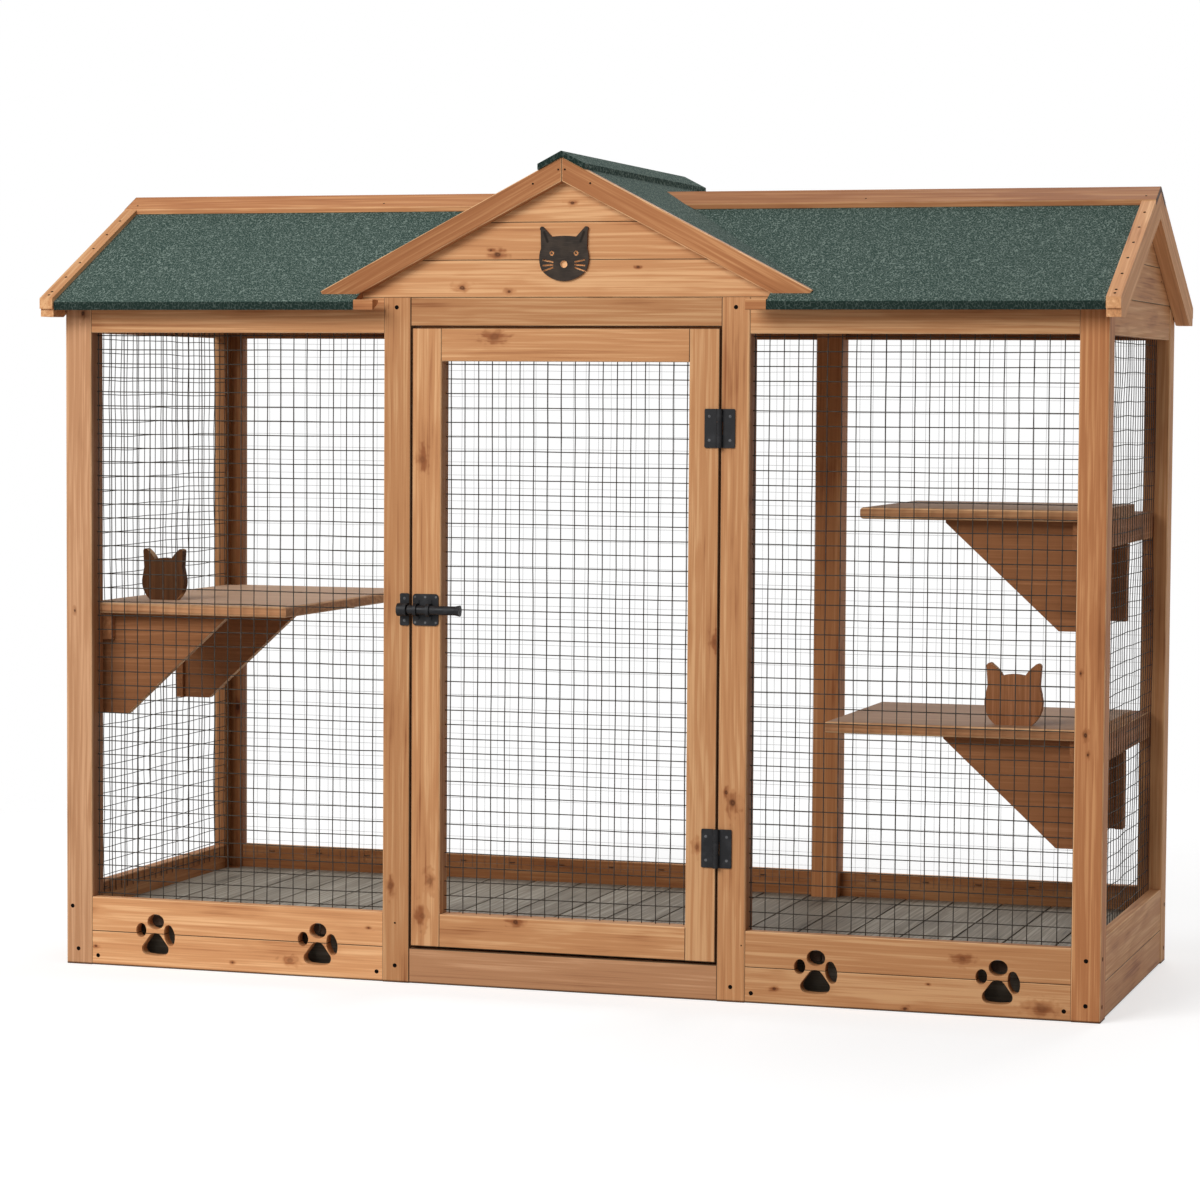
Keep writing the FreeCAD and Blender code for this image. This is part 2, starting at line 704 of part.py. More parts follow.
# Shelves: boards with a rounded front and free edge, notched round the corner posts
def shelf(width, z_top, depth):
    """A shelf on the right wall, from behind the front mesh."""
    x1 = X_SHELF
    y0 = Y_FRONT + SHELF_FRONT
    y1 = min(y0 + depth, Y_BACK - SHELF_FRONT)
    board = block(x1 - width, x1, y0, y1, z_top - SHELF_T, z_top)
    edges = []
    for edge in board.Edges:
        middle = edge.CenterOfMass
        level = abs(edge.Vertexes[0].Z - edge.Vertexes[1].Z) < SHELF_FIT
        if level and (abs(middle.y - y0) < SHELF_FIT or abs(middle.x - x1 + width) < SHELF_FIT):
            edges.append(edge)
    board = board.makeFillet(SHELF_ROUND, edges)
    notch = POST + SHELF_FIT
    for sign_y in (-1, 1):
        post = block(X_IN - SHELF_FIT, X_OUT, sign_y * (DEPTH / 2 - notch), sign_y * DEPTH, 0, FRAME_H)
        board = board.cut(post)
    return board


def cleat(z_top):
    """The batten between the posts that carries the shelf's wall edge."""
    x1 = X_SHELF
    z1 = z_top - SHELF_T
    batten = block(x1 - CLEAT_W, x1, Y_FRONT + POST, Y_BACK - POST, z1 - CLEAT_H, z1)
    return ease(batten, Y_DIR)


def bracket(z_top, y):
    """A gusset under the shelf, with the strip that stands it on the wall."""
    z1 = z_top - SHELF_T
    inner = CLEAT_W + SHELF_FIT
    under = CLEAT_H + SHELF_FIT
    steps = [(inner, 0), (BRACKET_W, 0), (BRACKET_W, -BRACKET_TIP), (BRACKET_TOE, -BRACKET_H)]
    steps += [(STRIP_T, -BRACKET_H), (STRIP_T, -under), (inner, -under)]
    points = [(X_SHELF - out, z1 + drop) for out, drop in steps]
    gusset = along_y(points, y - BRACKET_T / 2, y + BRACKET_T / 2)
    strip = block(X_SHELF - STRIP_T, X_SHELF, y - STRIP_W / 2, y + STRIP_W / 2, z1 - BRACKET_H, z1 - under)
    return [gusset, strip]


full_depth = DEPTH - 2 * SHELF_FRONT
first_bracket = Y_FRONT + SHELF_FRONT + BRACKET_INSET
save("left_shelf", [mirror_x(shelf(LEFT_SHELF_W, LEFT_SHELF_Z, full_depth))])
save("right_upper_shelf", [shelf(UPPER_SHELF_W, UPPER_SHELF_Z, RIGHT_SHELF_D)])
save("right_lower_shelf", [shelf(LOWER_SHELF_W, LOWER_SHELF_Z, RIGHT_SHELF_D)])
cleats = [mirror_x(cleat(LEFT_SHELF_Z)), cleat(UPPER_SHELF_Z), cleat(LOWER_SHELF_Z)]
save("shelf_cleats", cleats)
brackets = []
for y in (first_bracket, first_bracket + LEFT_BRACKET_STEP):
    for piece in bracket(LEFT_SHELF_Z, y):
        brackets.append(mirror_x(piece))
for z_top in (UPPER_SHELF_Z, LOWER_SHELF_Z):
    for y in (first_bracket, first_bracket + RIGHT_BRACKET_STEP):
        brackets.extend(bracket(z_top, y))
save("shelf_brackets", brackets)


def cat_figure(w, h):
    """A cat head cut from a board, standing on its flat neck."""
    half = [
        arc((0.31 * w, 0), (0.455 * w, 0.17 * h), (0.50 * w, 0.40 * h)),
        line((0.50 * w, 0.40 * h), (0.45 * w, 0.64 * h)),
        line((0.45 * w, 0.64 * h), (0.47 * w, 0.95 * h)),
        arc((0.47 * w, 0.95 * h), (0.44 * w, h), (0.37 * w, 0.98 * h)),
        arc((0.37 * w, 0.98 * h), (0.275 * w, 0.90 * h), (0.20 * w, 0.80 * h)),
    ]
    other = [mirror_x(edge) for edge in half]
    brow = arc((0.20 * w, 0.80 * h), (0, 0.825 * h), (-0.20 * w, 0.80 * h))
    base = line((0.31 * w, 0), (-0.31 * w, 0))
    outline = Part.Wire(Part.__sortEdges__(half + [brow] + other + [base]))
    return Part.Face(outline).extrude(Vector(0, FIGURE_T, 0))


left_cat = cat_figure(LEFT_FIGURE_W, LEFT_FIGURE_H)
left_cat.translate(Vector(-X_SHELF + LEFT_FIGURE_X, Y_FRONT + SHELF_FRONT + LEFT_FIGURE_Y, LEFT_SHELF_Z))
save("left_cat_figure", [left_cat])
right_cat = cat_figure(RIGHT_FIGURE_W, RIGHT_FIGURE_H)
right_cat.translate(Vector(X_SHELF - RIGHT_FIGURE_X, Y_FRONT + SHELF_FRONT + RIGHT_FIGURE_Y, LOWER_SHELF_Z))
save("right_cat_figure", [right_cat])


# Door: two stiles, two rails and its own mesh
X_DOOR = X_MID - DOOR_GAP
DOOR_Z0 = SILL_H + DOOR_FOOT
DOOR_Z1 = HEADER_Z - DOOR_GAP
RAIL_HALF = X_DOOR - STILE_W


def door_stile():
    return ease(block(X_DOOR - STILE_W, X_DOOR, Y_FRONT, Y_FRONT + DOOR_T, DOOR_Z0, DOOR_Z1), Z_DIR)


def door_rail(z0):
    return ease(block(-RAIL_HALF, RAIL_HALF, Y_FRONT, Y_FRONT + DOOR_T, z0, z0 + DOOR_RAIL_H), X_DIR)


stile = door_stile()
save("door_stiles", [stile, mirror_x(stile)])
save("door_rails", [door_rail(DOOR_Z0), door_rail(DOOR_Z1 - DOOR_RAIL_H)])
door_mesh_z0 = DOOR_Z0 + DOOR_RAIL_H + MESH_FIT
door_mesh_z1 = DOOR_Z1 - DOOR_RAIL_H - MESH_FIT
door_mesh_half = RAIL_HALF - MESH_FIT
door_net = front_mesh(-door_mesh_half, door_mesh_half, Y_FRONT + DOOR_MESH_Y, door_mesh_z0, door_mesh_z1)
save("door_mesh", [door_net])


# Hinges: surface leaves, three knuckles and a pin that is riveted in the post's leaf
X_HINGE = X_MID - DOOR_GAP / 2
Y_HINGE = Y_FRONT - KNUCKLE_R - KNUCKLE_CLEAR


def rounded_plate(width, height, thick, radius):
    """A plate in the XZ plane with rounded corners, its back on y = 0."""
    plate = block(0, width, -thick, 0, -height / 2, height / 2)
    edges = []
    for edge in plate.Edges:
        run = edge.Vertexes[1].Point - edge.Vertexes[0].Point
        if run.cross(Y_DIR).Length < thick / 4:
            edges.append(edge)
    return plate.makeFillet(radius, edges)


def knuckle(radius, z0, z1):
    return Part.makeCylinder(radius, z1 - z0, Vector(X_HINGE, Y_HINGE, z0), Z_DIR)


def hinge_leaf(side, knuckles, z):
    """One leaf: side 1 on the post, side -1 on the door, with its own knuckles."""
    leaf = rounded_plate(LEAF_W, HINGE_H, LEAF_T, LEAF_ROUND)
    if side < 0:
        leaf = mirror_x(leaf)
    leaf.translate(Vector(X_HINGE, Y_FRONT, z))
    reach = KNUCKLE_R + KNUCKLE_CLEAR
    leaf = leaf.cut(block(X_HINGE - reach, X_HINGE + reach, Y_HINGE, Y_BACK, z - HINGE_H, z + HINGE_H))
    x_web = X_HINGE + side * (reach + LEAF_T)
    for z0, z1 in knuckles:
        web = block(X_HINGE, x_web, Y_FRONT - LEAF_T, Y_FRONT - KNUCKLE_CLEAR, z0, z1)
        leaf = leaf.fuse([web, knuckle(KNUCKLE_R, z0, z1)])
    return leaf


def hinge_pair(z):
    third = HINGE_H / 3
    gap = KNUCKLE_CLEAR / 2
    low = (z - HINGE_H / 2, z - third / 2 - gap)
    high = (z + third / 2 + gap, z + HINGE_H / 2)
    pin = knuckle(PIN_R, z - HINGE_H / 2, z + HINGE_H / 2)
    post_leaf = hinge_leaf(1, [low, high], z).fuse(pin).removeSplitter()
    door_leaf = hinge_leaf(-1, [(z - third / 2 + gap, z + third / 2 - gap)], z)
    bore = knuckle(PIN_R + PIN_CLEAR, z - HINGE_H, z + HINGE_H)
    return post_leaf, door_leaf.cut(bore).removeSplitter()


hinges = [hinge_pair(UPPER_HINGE_Z), hinge_pair(LOWER_HINGE_Z)]
save("post_hinge_leaves", [pair[0] for pair in hinges])
save("door_hinge_leaves", [pair[1] for pair in hinges])


# Slide bolt: a plate with two straps on the door, a rod in them, a keeper on the post
Y_BOLT = Y_FRONT - BOLT_STAND
X_KEEPER = -X_MID - KEEPER_GAP
X_PLATE = -X_DOOR + PLATE_INSET


def rod(radius, x0, x1):
    return Part.makeCylinder(radius, x1 - x0, Vector(x0, Y_BOLT, BOLT_Z), X_DIR)


def strap(x0):
    """A bent strap over the rod, with a foot above and below it."""
    outer = BOLT_R + BOLT_CLEAR + STRAP_T
    x1 = x0 + STRAP_W
    loop = rod(outer, x0, x1).fuse(block(x0, x1, Y_BOLT, Y_FRONT - PLATE_T, BOLT_Z - outer, BOLT_Z + outer))
    reach = outer + STRAP_FOOT
    feet = block(x0, x1, Y_FRONT - PLATE_T - STRAP_T / 2, Y_FRONT - PLATE_T, BOLT_Z - reach, BOLT_Z + reach)
    return loop.fuse(feet).cut(rod(BOLT_R + BOLT_CLEAR, x0, x1))


def latch_plate():
    plate = rounded_plate(PLATE_W, PLATE_H, PLATE_T, PLATE_ROUND)
    plate.translate(Vector(X_PLATE, Y_FRONT, BOLT_Z))
    first = X_PLATE + STRAP_FOOT
    second = X_PLATE + PLATE_W - STRAP_FOOT - 2 * STRAP_W
    return plate.fuse([strap(first), strap(second)]).removeSplitter()


def keeper():
    plate = rounded_plate(KEEPER_W, KEEPER_H, PLATE_T, PLATE_ROUND / 2)
    plate.translate(Vector(X_KEEPER - KEEPER_W, Y_FRONT, BOLT_Z))
    bore = BOLT_R + KEEPER_CLEAR
    outer = bore + KEEPER_WALL
    x0 = X_KEEPER - KEEPER_W
    socket = rod(outer, x0, X_KEEPER)
    seat = block(x0, X_KEEPER, Y_BOLT, Y_FRONT, BOLT_Z - outer, BOLT_Z + outer)
    return plate.fuse([socket, seat]).cut(rod(bore, x0, X_KEEPER)).removeSplitter()


def bolt():
    """The rod, its tip at the keeper's mouth, with a flared pull at its tail."""
    x_tip = X_KEEPER + KEEPER_GAP
    x_tail = X_PLATE + PLATE_W + BOLT_TAIL - KNOB_L
    nose = Part.makeCone(BOLT_R - BOLT_EASE, BOLT_R, BOLT_EASE, Vector(x_tip, Y_BOLT, BOLT_Z), X_DIR)
    body = rod(BOLT_R, x_tip + BOLT_EASE, x_tail)
    flare = Part.makeCone(BOLT_R, KNOB_R, KNOB_L, Vector(x_tail, Y_BOLT, BOLT_Z), X_DIR)
    return body.fuse([nose, flare]).removeSplitter()


save("latch_plate", [latch_plate()])
save("latch_keeper", [keeper()])
save("latch_bolt", [bolt()])

print("width over posts", WIDTH, "roof length", 2 * X_VERGE, "height", gable_at(0, CAP_T))
print("door axis", X_HINGE, Y_HINGE, "bolt axis", Y_BOLT, BOLT_Z)
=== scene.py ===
# %% [markdown]
# An outdoor cat enclosure, dressed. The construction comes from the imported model: every post, rail,
# plank, hinge and bolt is already in place, in metres. This lesson gives those pieces their finishes
# and adds what is too fine for the construction model: the close wire mesh, its staples, the screws
# and the nails. We start by loading the model and keeping its box, because nothing we add may grow it.

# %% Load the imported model
import math

import bmesh
import bpy
from mathutils import Euler, Matrix, Vector


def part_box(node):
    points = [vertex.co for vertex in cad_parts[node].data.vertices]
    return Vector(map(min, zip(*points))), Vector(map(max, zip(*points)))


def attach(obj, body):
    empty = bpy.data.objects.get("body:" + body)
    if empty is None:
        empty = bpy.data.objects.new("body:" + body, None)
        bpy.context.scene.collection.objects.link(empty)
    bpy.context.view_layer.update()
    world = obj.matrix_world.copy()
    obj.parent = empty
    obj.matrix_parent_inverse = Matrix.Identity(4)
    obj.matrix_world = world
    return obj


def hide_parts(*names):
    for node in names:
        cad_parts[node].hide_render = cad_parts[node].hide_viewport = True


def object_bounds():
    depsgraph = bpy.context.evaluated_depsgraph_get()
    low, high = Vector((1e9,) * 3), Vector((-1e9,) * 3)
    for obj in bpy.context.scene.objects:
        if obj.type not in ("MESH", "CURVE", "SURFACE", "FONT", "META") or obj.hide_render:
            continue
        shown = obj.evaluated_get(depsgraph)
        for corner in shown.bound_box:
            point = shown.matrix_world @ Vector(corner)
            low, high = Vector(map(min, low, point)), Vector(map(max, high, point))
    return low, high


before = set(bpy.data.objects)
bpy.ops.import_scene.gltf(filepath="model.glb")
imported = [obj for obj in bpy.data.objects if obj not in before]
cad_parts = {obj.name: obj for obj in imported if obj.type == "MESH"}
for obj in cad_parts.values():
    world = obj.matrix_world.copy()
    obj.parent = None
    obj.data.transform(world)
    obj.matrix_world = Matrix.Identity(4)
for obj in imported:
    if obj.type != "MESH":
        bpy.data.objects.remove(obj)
cad_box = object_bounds()
scene = bpy.context.scene
scene.view_settings.view_transform = "Standard"
print("pieces in the model:", len(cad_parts), "box:", [list(corner) for corner in cad_box])

# %% [markdown]
# The camera. The picture was taken from a little to the right of the door and slightly above the
# middle, with a long lens, so the uprights stay almost parallel. The place and the angles were found
# by fitting the corners of the posts, rails and roof to the picture. A lens length is the focal
# length in pixels, times the sensor's width, over the picture's width.

# %% Camera
picture_width = 1200
focal_pixels = 3595
camera_place = Vector((1.931, -6.297, 1.052))
camera_turn = math.radians(17.42)
camera_dip = math.radians(3.34)
camera_roll = math.radians(0.37)

camera_data = bpy.data.cameras.new("camera")
camera_data.sensor_width = 36.0
camera_data.lens = focal_pixels * camera_data.sensor_width / picture_width
camera = bpy.data.objects.new("camera", camera_data)
turned = Matrix.Rotation(camera_turn, 4, "Z")
dipped = Matrix.Rotation(math.pi / 2 - camera_dip, 4, "X")
rolled = Matrix.Rotation(camera_roll, 4, "Z")
camera.matrix_world = Matrix.Translation(camera_place) @ turned @ dipped @ rolled
scene.collection.objects.link(camera)
scene.camera = camera
print("lens:", round(camera_data.lens, 1), "mm")

# %% [markdown]
# Small helpers for node trees. A tree is easier to read as a sum than as a heap of nodes, so the output
# of a node is wrapped as a flow: adding or multiplying two flows adds the node that does it. Inputs are
# filled or linked by name or number.


# %% Nodes and flows
class Node:
    """A node whose outputs are read as flows, and whose inputs are filled or linked, by name or number."""

    def __init__(self, node):
        self.node = node

    def __getitem__(self, key):
        return Flow(self.node.outputs[key])

    def __setitem__(self, key, value):
        if isinstance(value, Flow):
            self.node.id_data.links.new(value.socket, self.node.inputs[key])
        else:
            self.node.inputs[key].default_value = value


class Flow:
    """A node's output, a number or a vector; each sign adds a node with the result to the same tree."""

    def __init__(self, socket):
        self.socket = socket
        self.tree = socket.id_data

    def work(self, operation, *values):
        is_vector = self.socket.type in ("VECTOR", "RGBA")
        kind = "ShaderNodeVectorMath" if is_vector else "ShaderNodeMath"
        return place(self.tree, kind, dict(enumerate(values)), operation=operation)[0]

    def only(self, operation):
        return self.work(operation, self)

    def __add__(self, other):
        return self.work("ADD", self, other)

    def __sub__(self, other):
        return self.work("SUBTRACT", self, other)

    def __rsub__(self, other):
        return self.work("SUBTRACT", other, self)

    def __mul__(self, other):
        return self.work("MULTIPLY", self, other)

    def __truediv__(self, other):
        return self.work("DIVIDE", self, other)

    def __abs__(self):
        return self.only("ABSOLUTE")


def place(tree, kind, sockets=None, **settings):
    """Adds a node, applies its settings, then fills or links its sockets."""
    made = Node(tree.nodes.new(kind))
    for name, value in settings.items():
        setattr(made.node, name, value)
    for key, value in (sockets or {}).items():
        made[key] = value
    return made


def use(tree, group, **sockets):
    """Adds a node that runs one of the shared groups."""
    return place(tree, "ShaderNodeGroup", sockets, node_tree=group)


print("nodes and flows ready")

# %% [markdown]
# On top of these come the steps that every material needs: a smooth change, a blend of two colours,
# noise, an empty group and a coat of finish. Colours are written as a paint chart gives them, from 0 to
# 255, and turned into the linear values that shaders work with.


# %% Steps and colours
def paint(red, green, blue):
    """A chart colour, 0 to 255, as the linear colour that a shader needs."""
    linear = []
    for part in (red, green, blue):
        share = part / 255
        linear.append(share / 12.92 if share <= 0.04045 else ((share + 0.055) / 1.055) ** 2.4)
    return (*linear, 1.0)


def larger(first, second):
    return first.work("MAXIMUM", first, second)


def length(arrow):
    return place(arrow.tree, "ShaderNodeVectorMath", {0: arrow}, operation="LENGTH")["Value"]


def dot(first, second):
    sockets = {0: first, 1: second}
    return place(first.tree, "ShaderNodeVectorMath", sockets, operation="DOT_PRODUCT")["Value"]


def parts(arrow):
    """The node that holds the three numbers of a vector."""
    return place(arrow.tree, "ShaderNodeSeparateXYZ", {0: arrow})


def join_parts(tree, sockets):
    return place(tree, "ShaderNodeCombineXYZ", sockets)[0]


def ease(value, low, high, start=0.0, end=1.0):
    """A smooth change from start to end while value goes from low to high."""
    sockets = dict(enumerate((value, low, high, start, end)))
    return place(value.tree, "ShaderNodeMapRange", sockets, interpolation_type="SMOOTHSTEP")[0]


def blend(share, first, second, way="MIX"):
    sockets = {0: share, 6: first, 7: second}
    return place(share.tree, "ShaderNodeMix", sockets, data_type="RGBA", blend_type=way)[2]


def noise(position, scale, detail=2.0):
    """Noise from 0 to 1 on coordinates that are stretched first; scale is (x, y, z) per metre."""
    sockets = {"Vector": position * scale, "Scale": 1.0, "Detail": detail}
    return place(position.tree, "ShaderNodeTexNoise", sockets)[0]


def new_group(name, inputs, outputs, kind="ShaderNodeTree"):
    """An empty group; its sockets are named by type. Returns the group and the nodes at its two ends."""
    tree = bpy.data.node_groups.new(name, kind)
    for way, sockets in (("INPUT", inputs), ("OUTPUT", outputs)):
        for socket_kind, labels in sockets.items():
            for label in labels.split():
                tree.interface.new_socket(label, in_out=way, socket_type="NodeSocket" + socket_kind)
    return tree, place(tree, "NodeGroupInput"), place(tree, "NodeGroupOutput")


def new_material(name):
    """A material with a Principled shader; returns the material, its tree and the shader."""
    material = bpy.data.materials.new(name)
    material.use_nodes = True
    tree = material.node_tree
    return material, tree, Node(tree.nodes["Principled BSDF"])


def coat(shader, colour, roughness, height, strength, distance, shine):
    """Gives a Principled shader its colour, roughness, bump and shine."""
    sockets = {"Height": height, "Strength": strength, "Distance": distance}
    shader["Base Color"] = colour
    shader["Roughness"] = roughness
    shader["Normal"] = place(colour.tree, "ShaderNodeBump", sockets)[0]
    shader["Specular IOR Level"] = shine


print("steps and colours ready")

# %% [markdown]
# The studio. The picture has a white room and soft light from all round, with a little more from the
# front. So the world gives even light, one large lamp stands in front and above, and a weaker one behind
# keeps the back readable. The white that the camera sees is set apart from the light on the wood: rays
# from the camera, and mirrored ones, see plain white.

# %% Studio light
world_light = 0.36
white = (1, 1, 1, 1)


def seen_directly(tree):
    """1 for rays from the camera, straight, mirrored or through something clear, and 0 for the others."""
    rays = place(tree, "ShaderNodeLightPath")
    seen = larger(rays["Is Camera Ray"], rays["Is Glossy Ray"])
    return larger(seen, rays["Is Transmission Ray"])


world = bpy.data.worlds.new("studio")
world.use_nodes = True
scene.world = world
background = Node(world.node_tree.nodes["Background"])
background["Color"] = white
background["Strength"] = seen_directly(world.node_tree) * (1.0 - world_light) + world_light


def soft_lamp(name, place_at, aim, size, power):
    lamp_data = bpy.data.lights.new(name, "AREA")
    lamp_data.shape = "RECTANGLE"
    lamp_data.size, lamp_data.size_y = size
    lamp_data.energy = power
    lamp = bpy.data.objects.new(name, lamp_data)
    lamp.location = place_at
    lamp.rotation_mode = "QUATERNION"
    lamp.rotation_quaternion = (Vector(aim) - Vector(place_at)).to_track_quat("-Z", "Y")
    scene.collection.objects.link(lamp)


soft_lamp("front_lamp", (-1.9, -4.6, 3.4), (0, 0, 0.6), (3.6, 2.6), 215)
soft_lamp("back_lamp", (0.8, 4.4, 4.4), (0, 0, 0.7), (3.0, 2.2), 110)
print("studio: world", world_light, "and two lamps")

# %% [markdown]
# The ground is white and fades into the white room. For the camera alone it glows a little, but not
# under the run: there it keeps its natural shade, which shows through the gaps when the door is open.

# %% Studio ground
floor_reach = 5.0
floor_mesh = bpy.data.meshes.new("studio_floor")
corners = [(-floor_reach, -floor_reach, 0), (floor_reach, -floor_reach, 0)]
corners += [(floor_reach, floor_reach, 0), (-floor_reach, floor_reach, 0)]
floor_mesh.from_pydata(corners, [], [(0, 1, 2, 3)])
studio_floor = bpy.data.objects.new("studio_floor", floor_mesh)
studio_floor.location.z = -0.0005
scene.collection.objects.link(studio_floor)

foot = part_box("rear_right_post")[1]
shade_width = 0.05
ground_glow = 0.55
fade_start = 1.7
fade_end = 3.4
paper, tree, shader = new_material("white_ground")
shader["Roughness"] = 1.0
shader["Specular IOR Level"] = 0.0
shader["Base Color"] = (0.62, 0.62, 0.62, 1)
spot = place(tree, "ShaderNodeTexCoord")["Object"]
beyond = parts(abs(spot))
outside_x = ease(beyond[0], foot.x - shade_width, foot.x)
outside_y = ease(beyond[1], foot.y - shade_width, foot.y)
glow_strength = seen_directly(tree) * ground_glow * larger(outside_x, outside_y)
glow = place(tree, "ShaderNodeEmission", {"Color": white, "Strength": glow_strength})
lit = place(tree, "ShaderNodeAddShader", {0: shader[0], 1: glow[0]})
clear = place(tree, "ShaderNodeBsdfTransparent")
fade = ease(length(spot), fade_start, fade_end)
mixed = place(tree, "ShaderNodeMixShader", {0: fade, 1: lit[0], 2: clear[0]})
Node(tree.nodes["Material Output"])["Surface"] = mixed[0]
floor_mesh.materials.append(paper)
print("ground:", paper.name, "fading from", fade_start, "to", fade_end, "m")

# %% [markdown]
# Board space. Timber looks right only when its grain runs along each board, so every timber material
# first turns its coordinates until X runs along the grain, Y goes through the board and Z across it.
# Roof boards come in mirrored pairs, so an axis may be folded at zero first. A piece can hold several
# planks, so the coordinates are also counted off in cells, and each cell draws its own random numbers.

# %% Group: board space
board_space, given, result = new_group(
    "Board space",
    {"Vector": "Position Normal Turn Fold First Cell", "Float": "Seed"},
    {"Vector": "Position Normal", "Color": "Chance"},
)
side = given["Position"].only("SIGN")
flip = (side - (1, 1, 1)) * given["Fold"] + (1, 1, 1)
folded = given["Position"] * flip
for label, source in (("Position", folded), ("Normal", given["Normal"] * flip)):
    sockets = {"Vector": source, "Rotation": given["Turn"]}
    result[label] = place(board_space, "ShaderNodeVectorRotate", sockets, rotation_type="EULER_XYZ")[0]
count = ((folded - given["First"]) / given["Cell"]).only("FLOOR")
count = count + flip * (0.31, 0.17, 0.23) + given["Seed"]
dice = place(board_space, "ShaderNodeTexWhiteNoise", {"Vector": count}, noise_dimensions="3D")
result["Chance"] = dice["Color"]
print("group:", board_space.name)

# %% [markdown]
# Knots. A knot is a branch cut across: a dark round core, and grain that darkens and bends round it.
# One group makes a knot at a place we choose, and can be chained, so the large knots go where the
# picture has them. Another scatters small ones: each cell of a Voronoi pattern may hold one, and the
# board's own random numbers move the pattern, so no two boards share their knots.

# %% Groups: knots
one_knot, given, result = new_group(
    "One knot",
    {"Vector": "Position Centre", "Float": "Radius Darkness Core Halo"},
    {"Float": "Core Halo"},
)
offset = given["Position"] - given["Centre"]
wobble = ease(noise(given["Position"], (80, 80, 80), 1.0), 0.2, 0.8, 0.68, 1.4)


def radii_away(stretch):
    """Distance from the knot in radii, shortened along the grain and made uneven."""
    return length(offset * (stretch, 0, 1)) * wobble / given["Radius"]


away = radii_away(0.75)
core = ease(away, 0.45, 1.15, 1.0, 0.0) * ease(away, 0.1, 0.5, 0.7, 1.0) * given["Darkness"]
result["Core"] = larger(core, given["Core"])
result["Halo"] = larger(ease(radii_away(0.5), 0.3, 2.9, 1.0, 0.0), given["Halo"])

knot_cell = (0.36, 0.085)
least_knot = 0.0022
knot_range = 0.0045
scattered, given, result = new_group(
    "Scattered knots",
    {"Vector": "Position", "Color": "Chance", "Float": "Amount"},
    {"Float": "Core Halo"},
)
apart = parts(given["Position"])
shift = parts(given["Chance"])
along = shift[0] * 61.0 + apart[0] / knot_cell[0]
across = shift[1] * 37.0 + apart[2] / knot_cell[1]
spot = join_parts(scattered, {0: along, 1: across})
sockets = {"Vector": spot, "Scale": 1.0, "Randomness": 0.7}
cells = place(scattered, "ShaderNodeTexVoronoi", sockets, voronoi_dimensions="2D")
away = length((spot - cells["Position"]) * (0.62 * knot_cell[0], knot_cell[1], 0))
luck = parts(cells["Color"])
away = away / (luck[1] * knot_range + least_knot)
there = luck[0].work("LESS_THAN", luck[0], given["Amount"])
result["Core"] = ease(away, 0.5, 1.0, 1.0, 0.0) * there
result["Halo"] = ease(away, 0.4, 3.2, 1.0, 0.0) * there
print("groups:", one_knot.name, "and", scattered.name)

# %% [markdown]
# Stained softwood. Seen close, it is growth rings cut lengthwise, which show as soft bands, finer
# streaks and fibres between them, and cloudy places where the stain went in deeper. The rings are
# worked out as a log's would be: the distance from a pith line outside the board, a little off its
# axis, divided by the ring's width. This solid pattern turns into arches on wide faces and into arcs
# on the ends.

# %% Group: stained softwood
ring_width = 0.0105
pith_depth = 0.045
softwood, given, result = new_group(
    "Stained softwood",
    {"Vector": "Position", "Color": "Chance Light Middle Deep Knot", "Float": "Core Halo"},
    {"Color": "Color", "Float": "Roughness Height"},
)
cut = given["Position"] + given["Chance"] * (17.0, 5.0, 9.0)
sway = noise(cut, (1.3, 5.0, 5.0))
apart = parts(given["Position"])
drift = parts((given["Chance"] - (0.5, 0.3, 0.5)) * (0.05, 0.10, 0.16))
through = apart[1] + (drift[1] + pith_depth)
over = apart[2] + drift[2] + apart[0] * drift[0]
from_pith = length(join_parts(softwood, {1: through, 2: over}))
ring = given["Halo"] * 0.006 + (sway * 0.055 + from_pith)
phase = (ring / ring_width).only("FRACT")
late = ease(phase, 0.15, 0.85) * ease(phase, 0.86, 1.0, 1.0, 0.0)

bands = noise(cut, (1.1, 38.0, 38.0), 3.0)
streaks = noise(cut, (4.0, 140.0, 140.0), 3.0)
fibres = noise(cut, (5.0, 330.0, 330.0), 3.0)
clouds = noise(cut, (4.5, 22.0, 22.0), 3.0)
board_tone = parts(given["Chance"])[2]

depth = (bands - 0.5) * 0.7 + 0.30
depth = (streaks - 0.5) * 0.9 + depth
depth = late * 0.2 + depth
depth = (fibres - 0.5) * 1.1 + depth
depth = ease(clouds, 0.50, 0.72) * 0.4 + depth
depth = given["Halo"] * 0.7 + depth
depth = (board_tone - 0.5) * 0.24 + depth
colour = blend(ease(depth, 0.0, 0.5), given["Light"], given["Middle"])
colour = blend(ease(depth, 0.5, 1.25), colour, given["Deep"])
result["Color"] = blend(given["Core"] * 0.9, colour, given["Knot"])
result["Roughness"] = fibres * 0.22 + 0.46
result["Height"] = fibres * 0.6 + late * 0.3 - given["Core"] * 0.5
print("group:", softwood.name)

# %% [markdown]
# Edge highlight and wear. Every eased edge is painted lighter: partly stain rubbed thin, partly a painted
# highlight for the light that the edge catches, and this is what makes the joints of the real thing
# readable. The construction model has those edges as narrow chamfers, so a face that lies square to
# none of the board's three directions must be one: that is the mask.

# %% Group: edge highlight and wear
edge_highlight_and_wear, given, result = new_group(
    "Edge highlight and wear",
    {"Color": "Color Bare", "Vector": "Normal Position", "Float": "Wear"},
    {"Color": "Color"},
)
facing = parts(abs(given["Normal"]))
square = larger(larger(facing[0], facing[1]), facing[2])
patchy = ease(noise(given["Position"], (14, 40, 40)), 0.3, 0.62, 0.35, 1.0)
# edge: the painted highlight, with wear, on every chamfer.
edge = ease(square, 0.80, 0.93, 1.0, 0.0) * patchy * given["Wear"]
result["Color"] = blend(edge, given["Color"], given["Bare"])
print("group:", edge_highlight_and_wear.name)
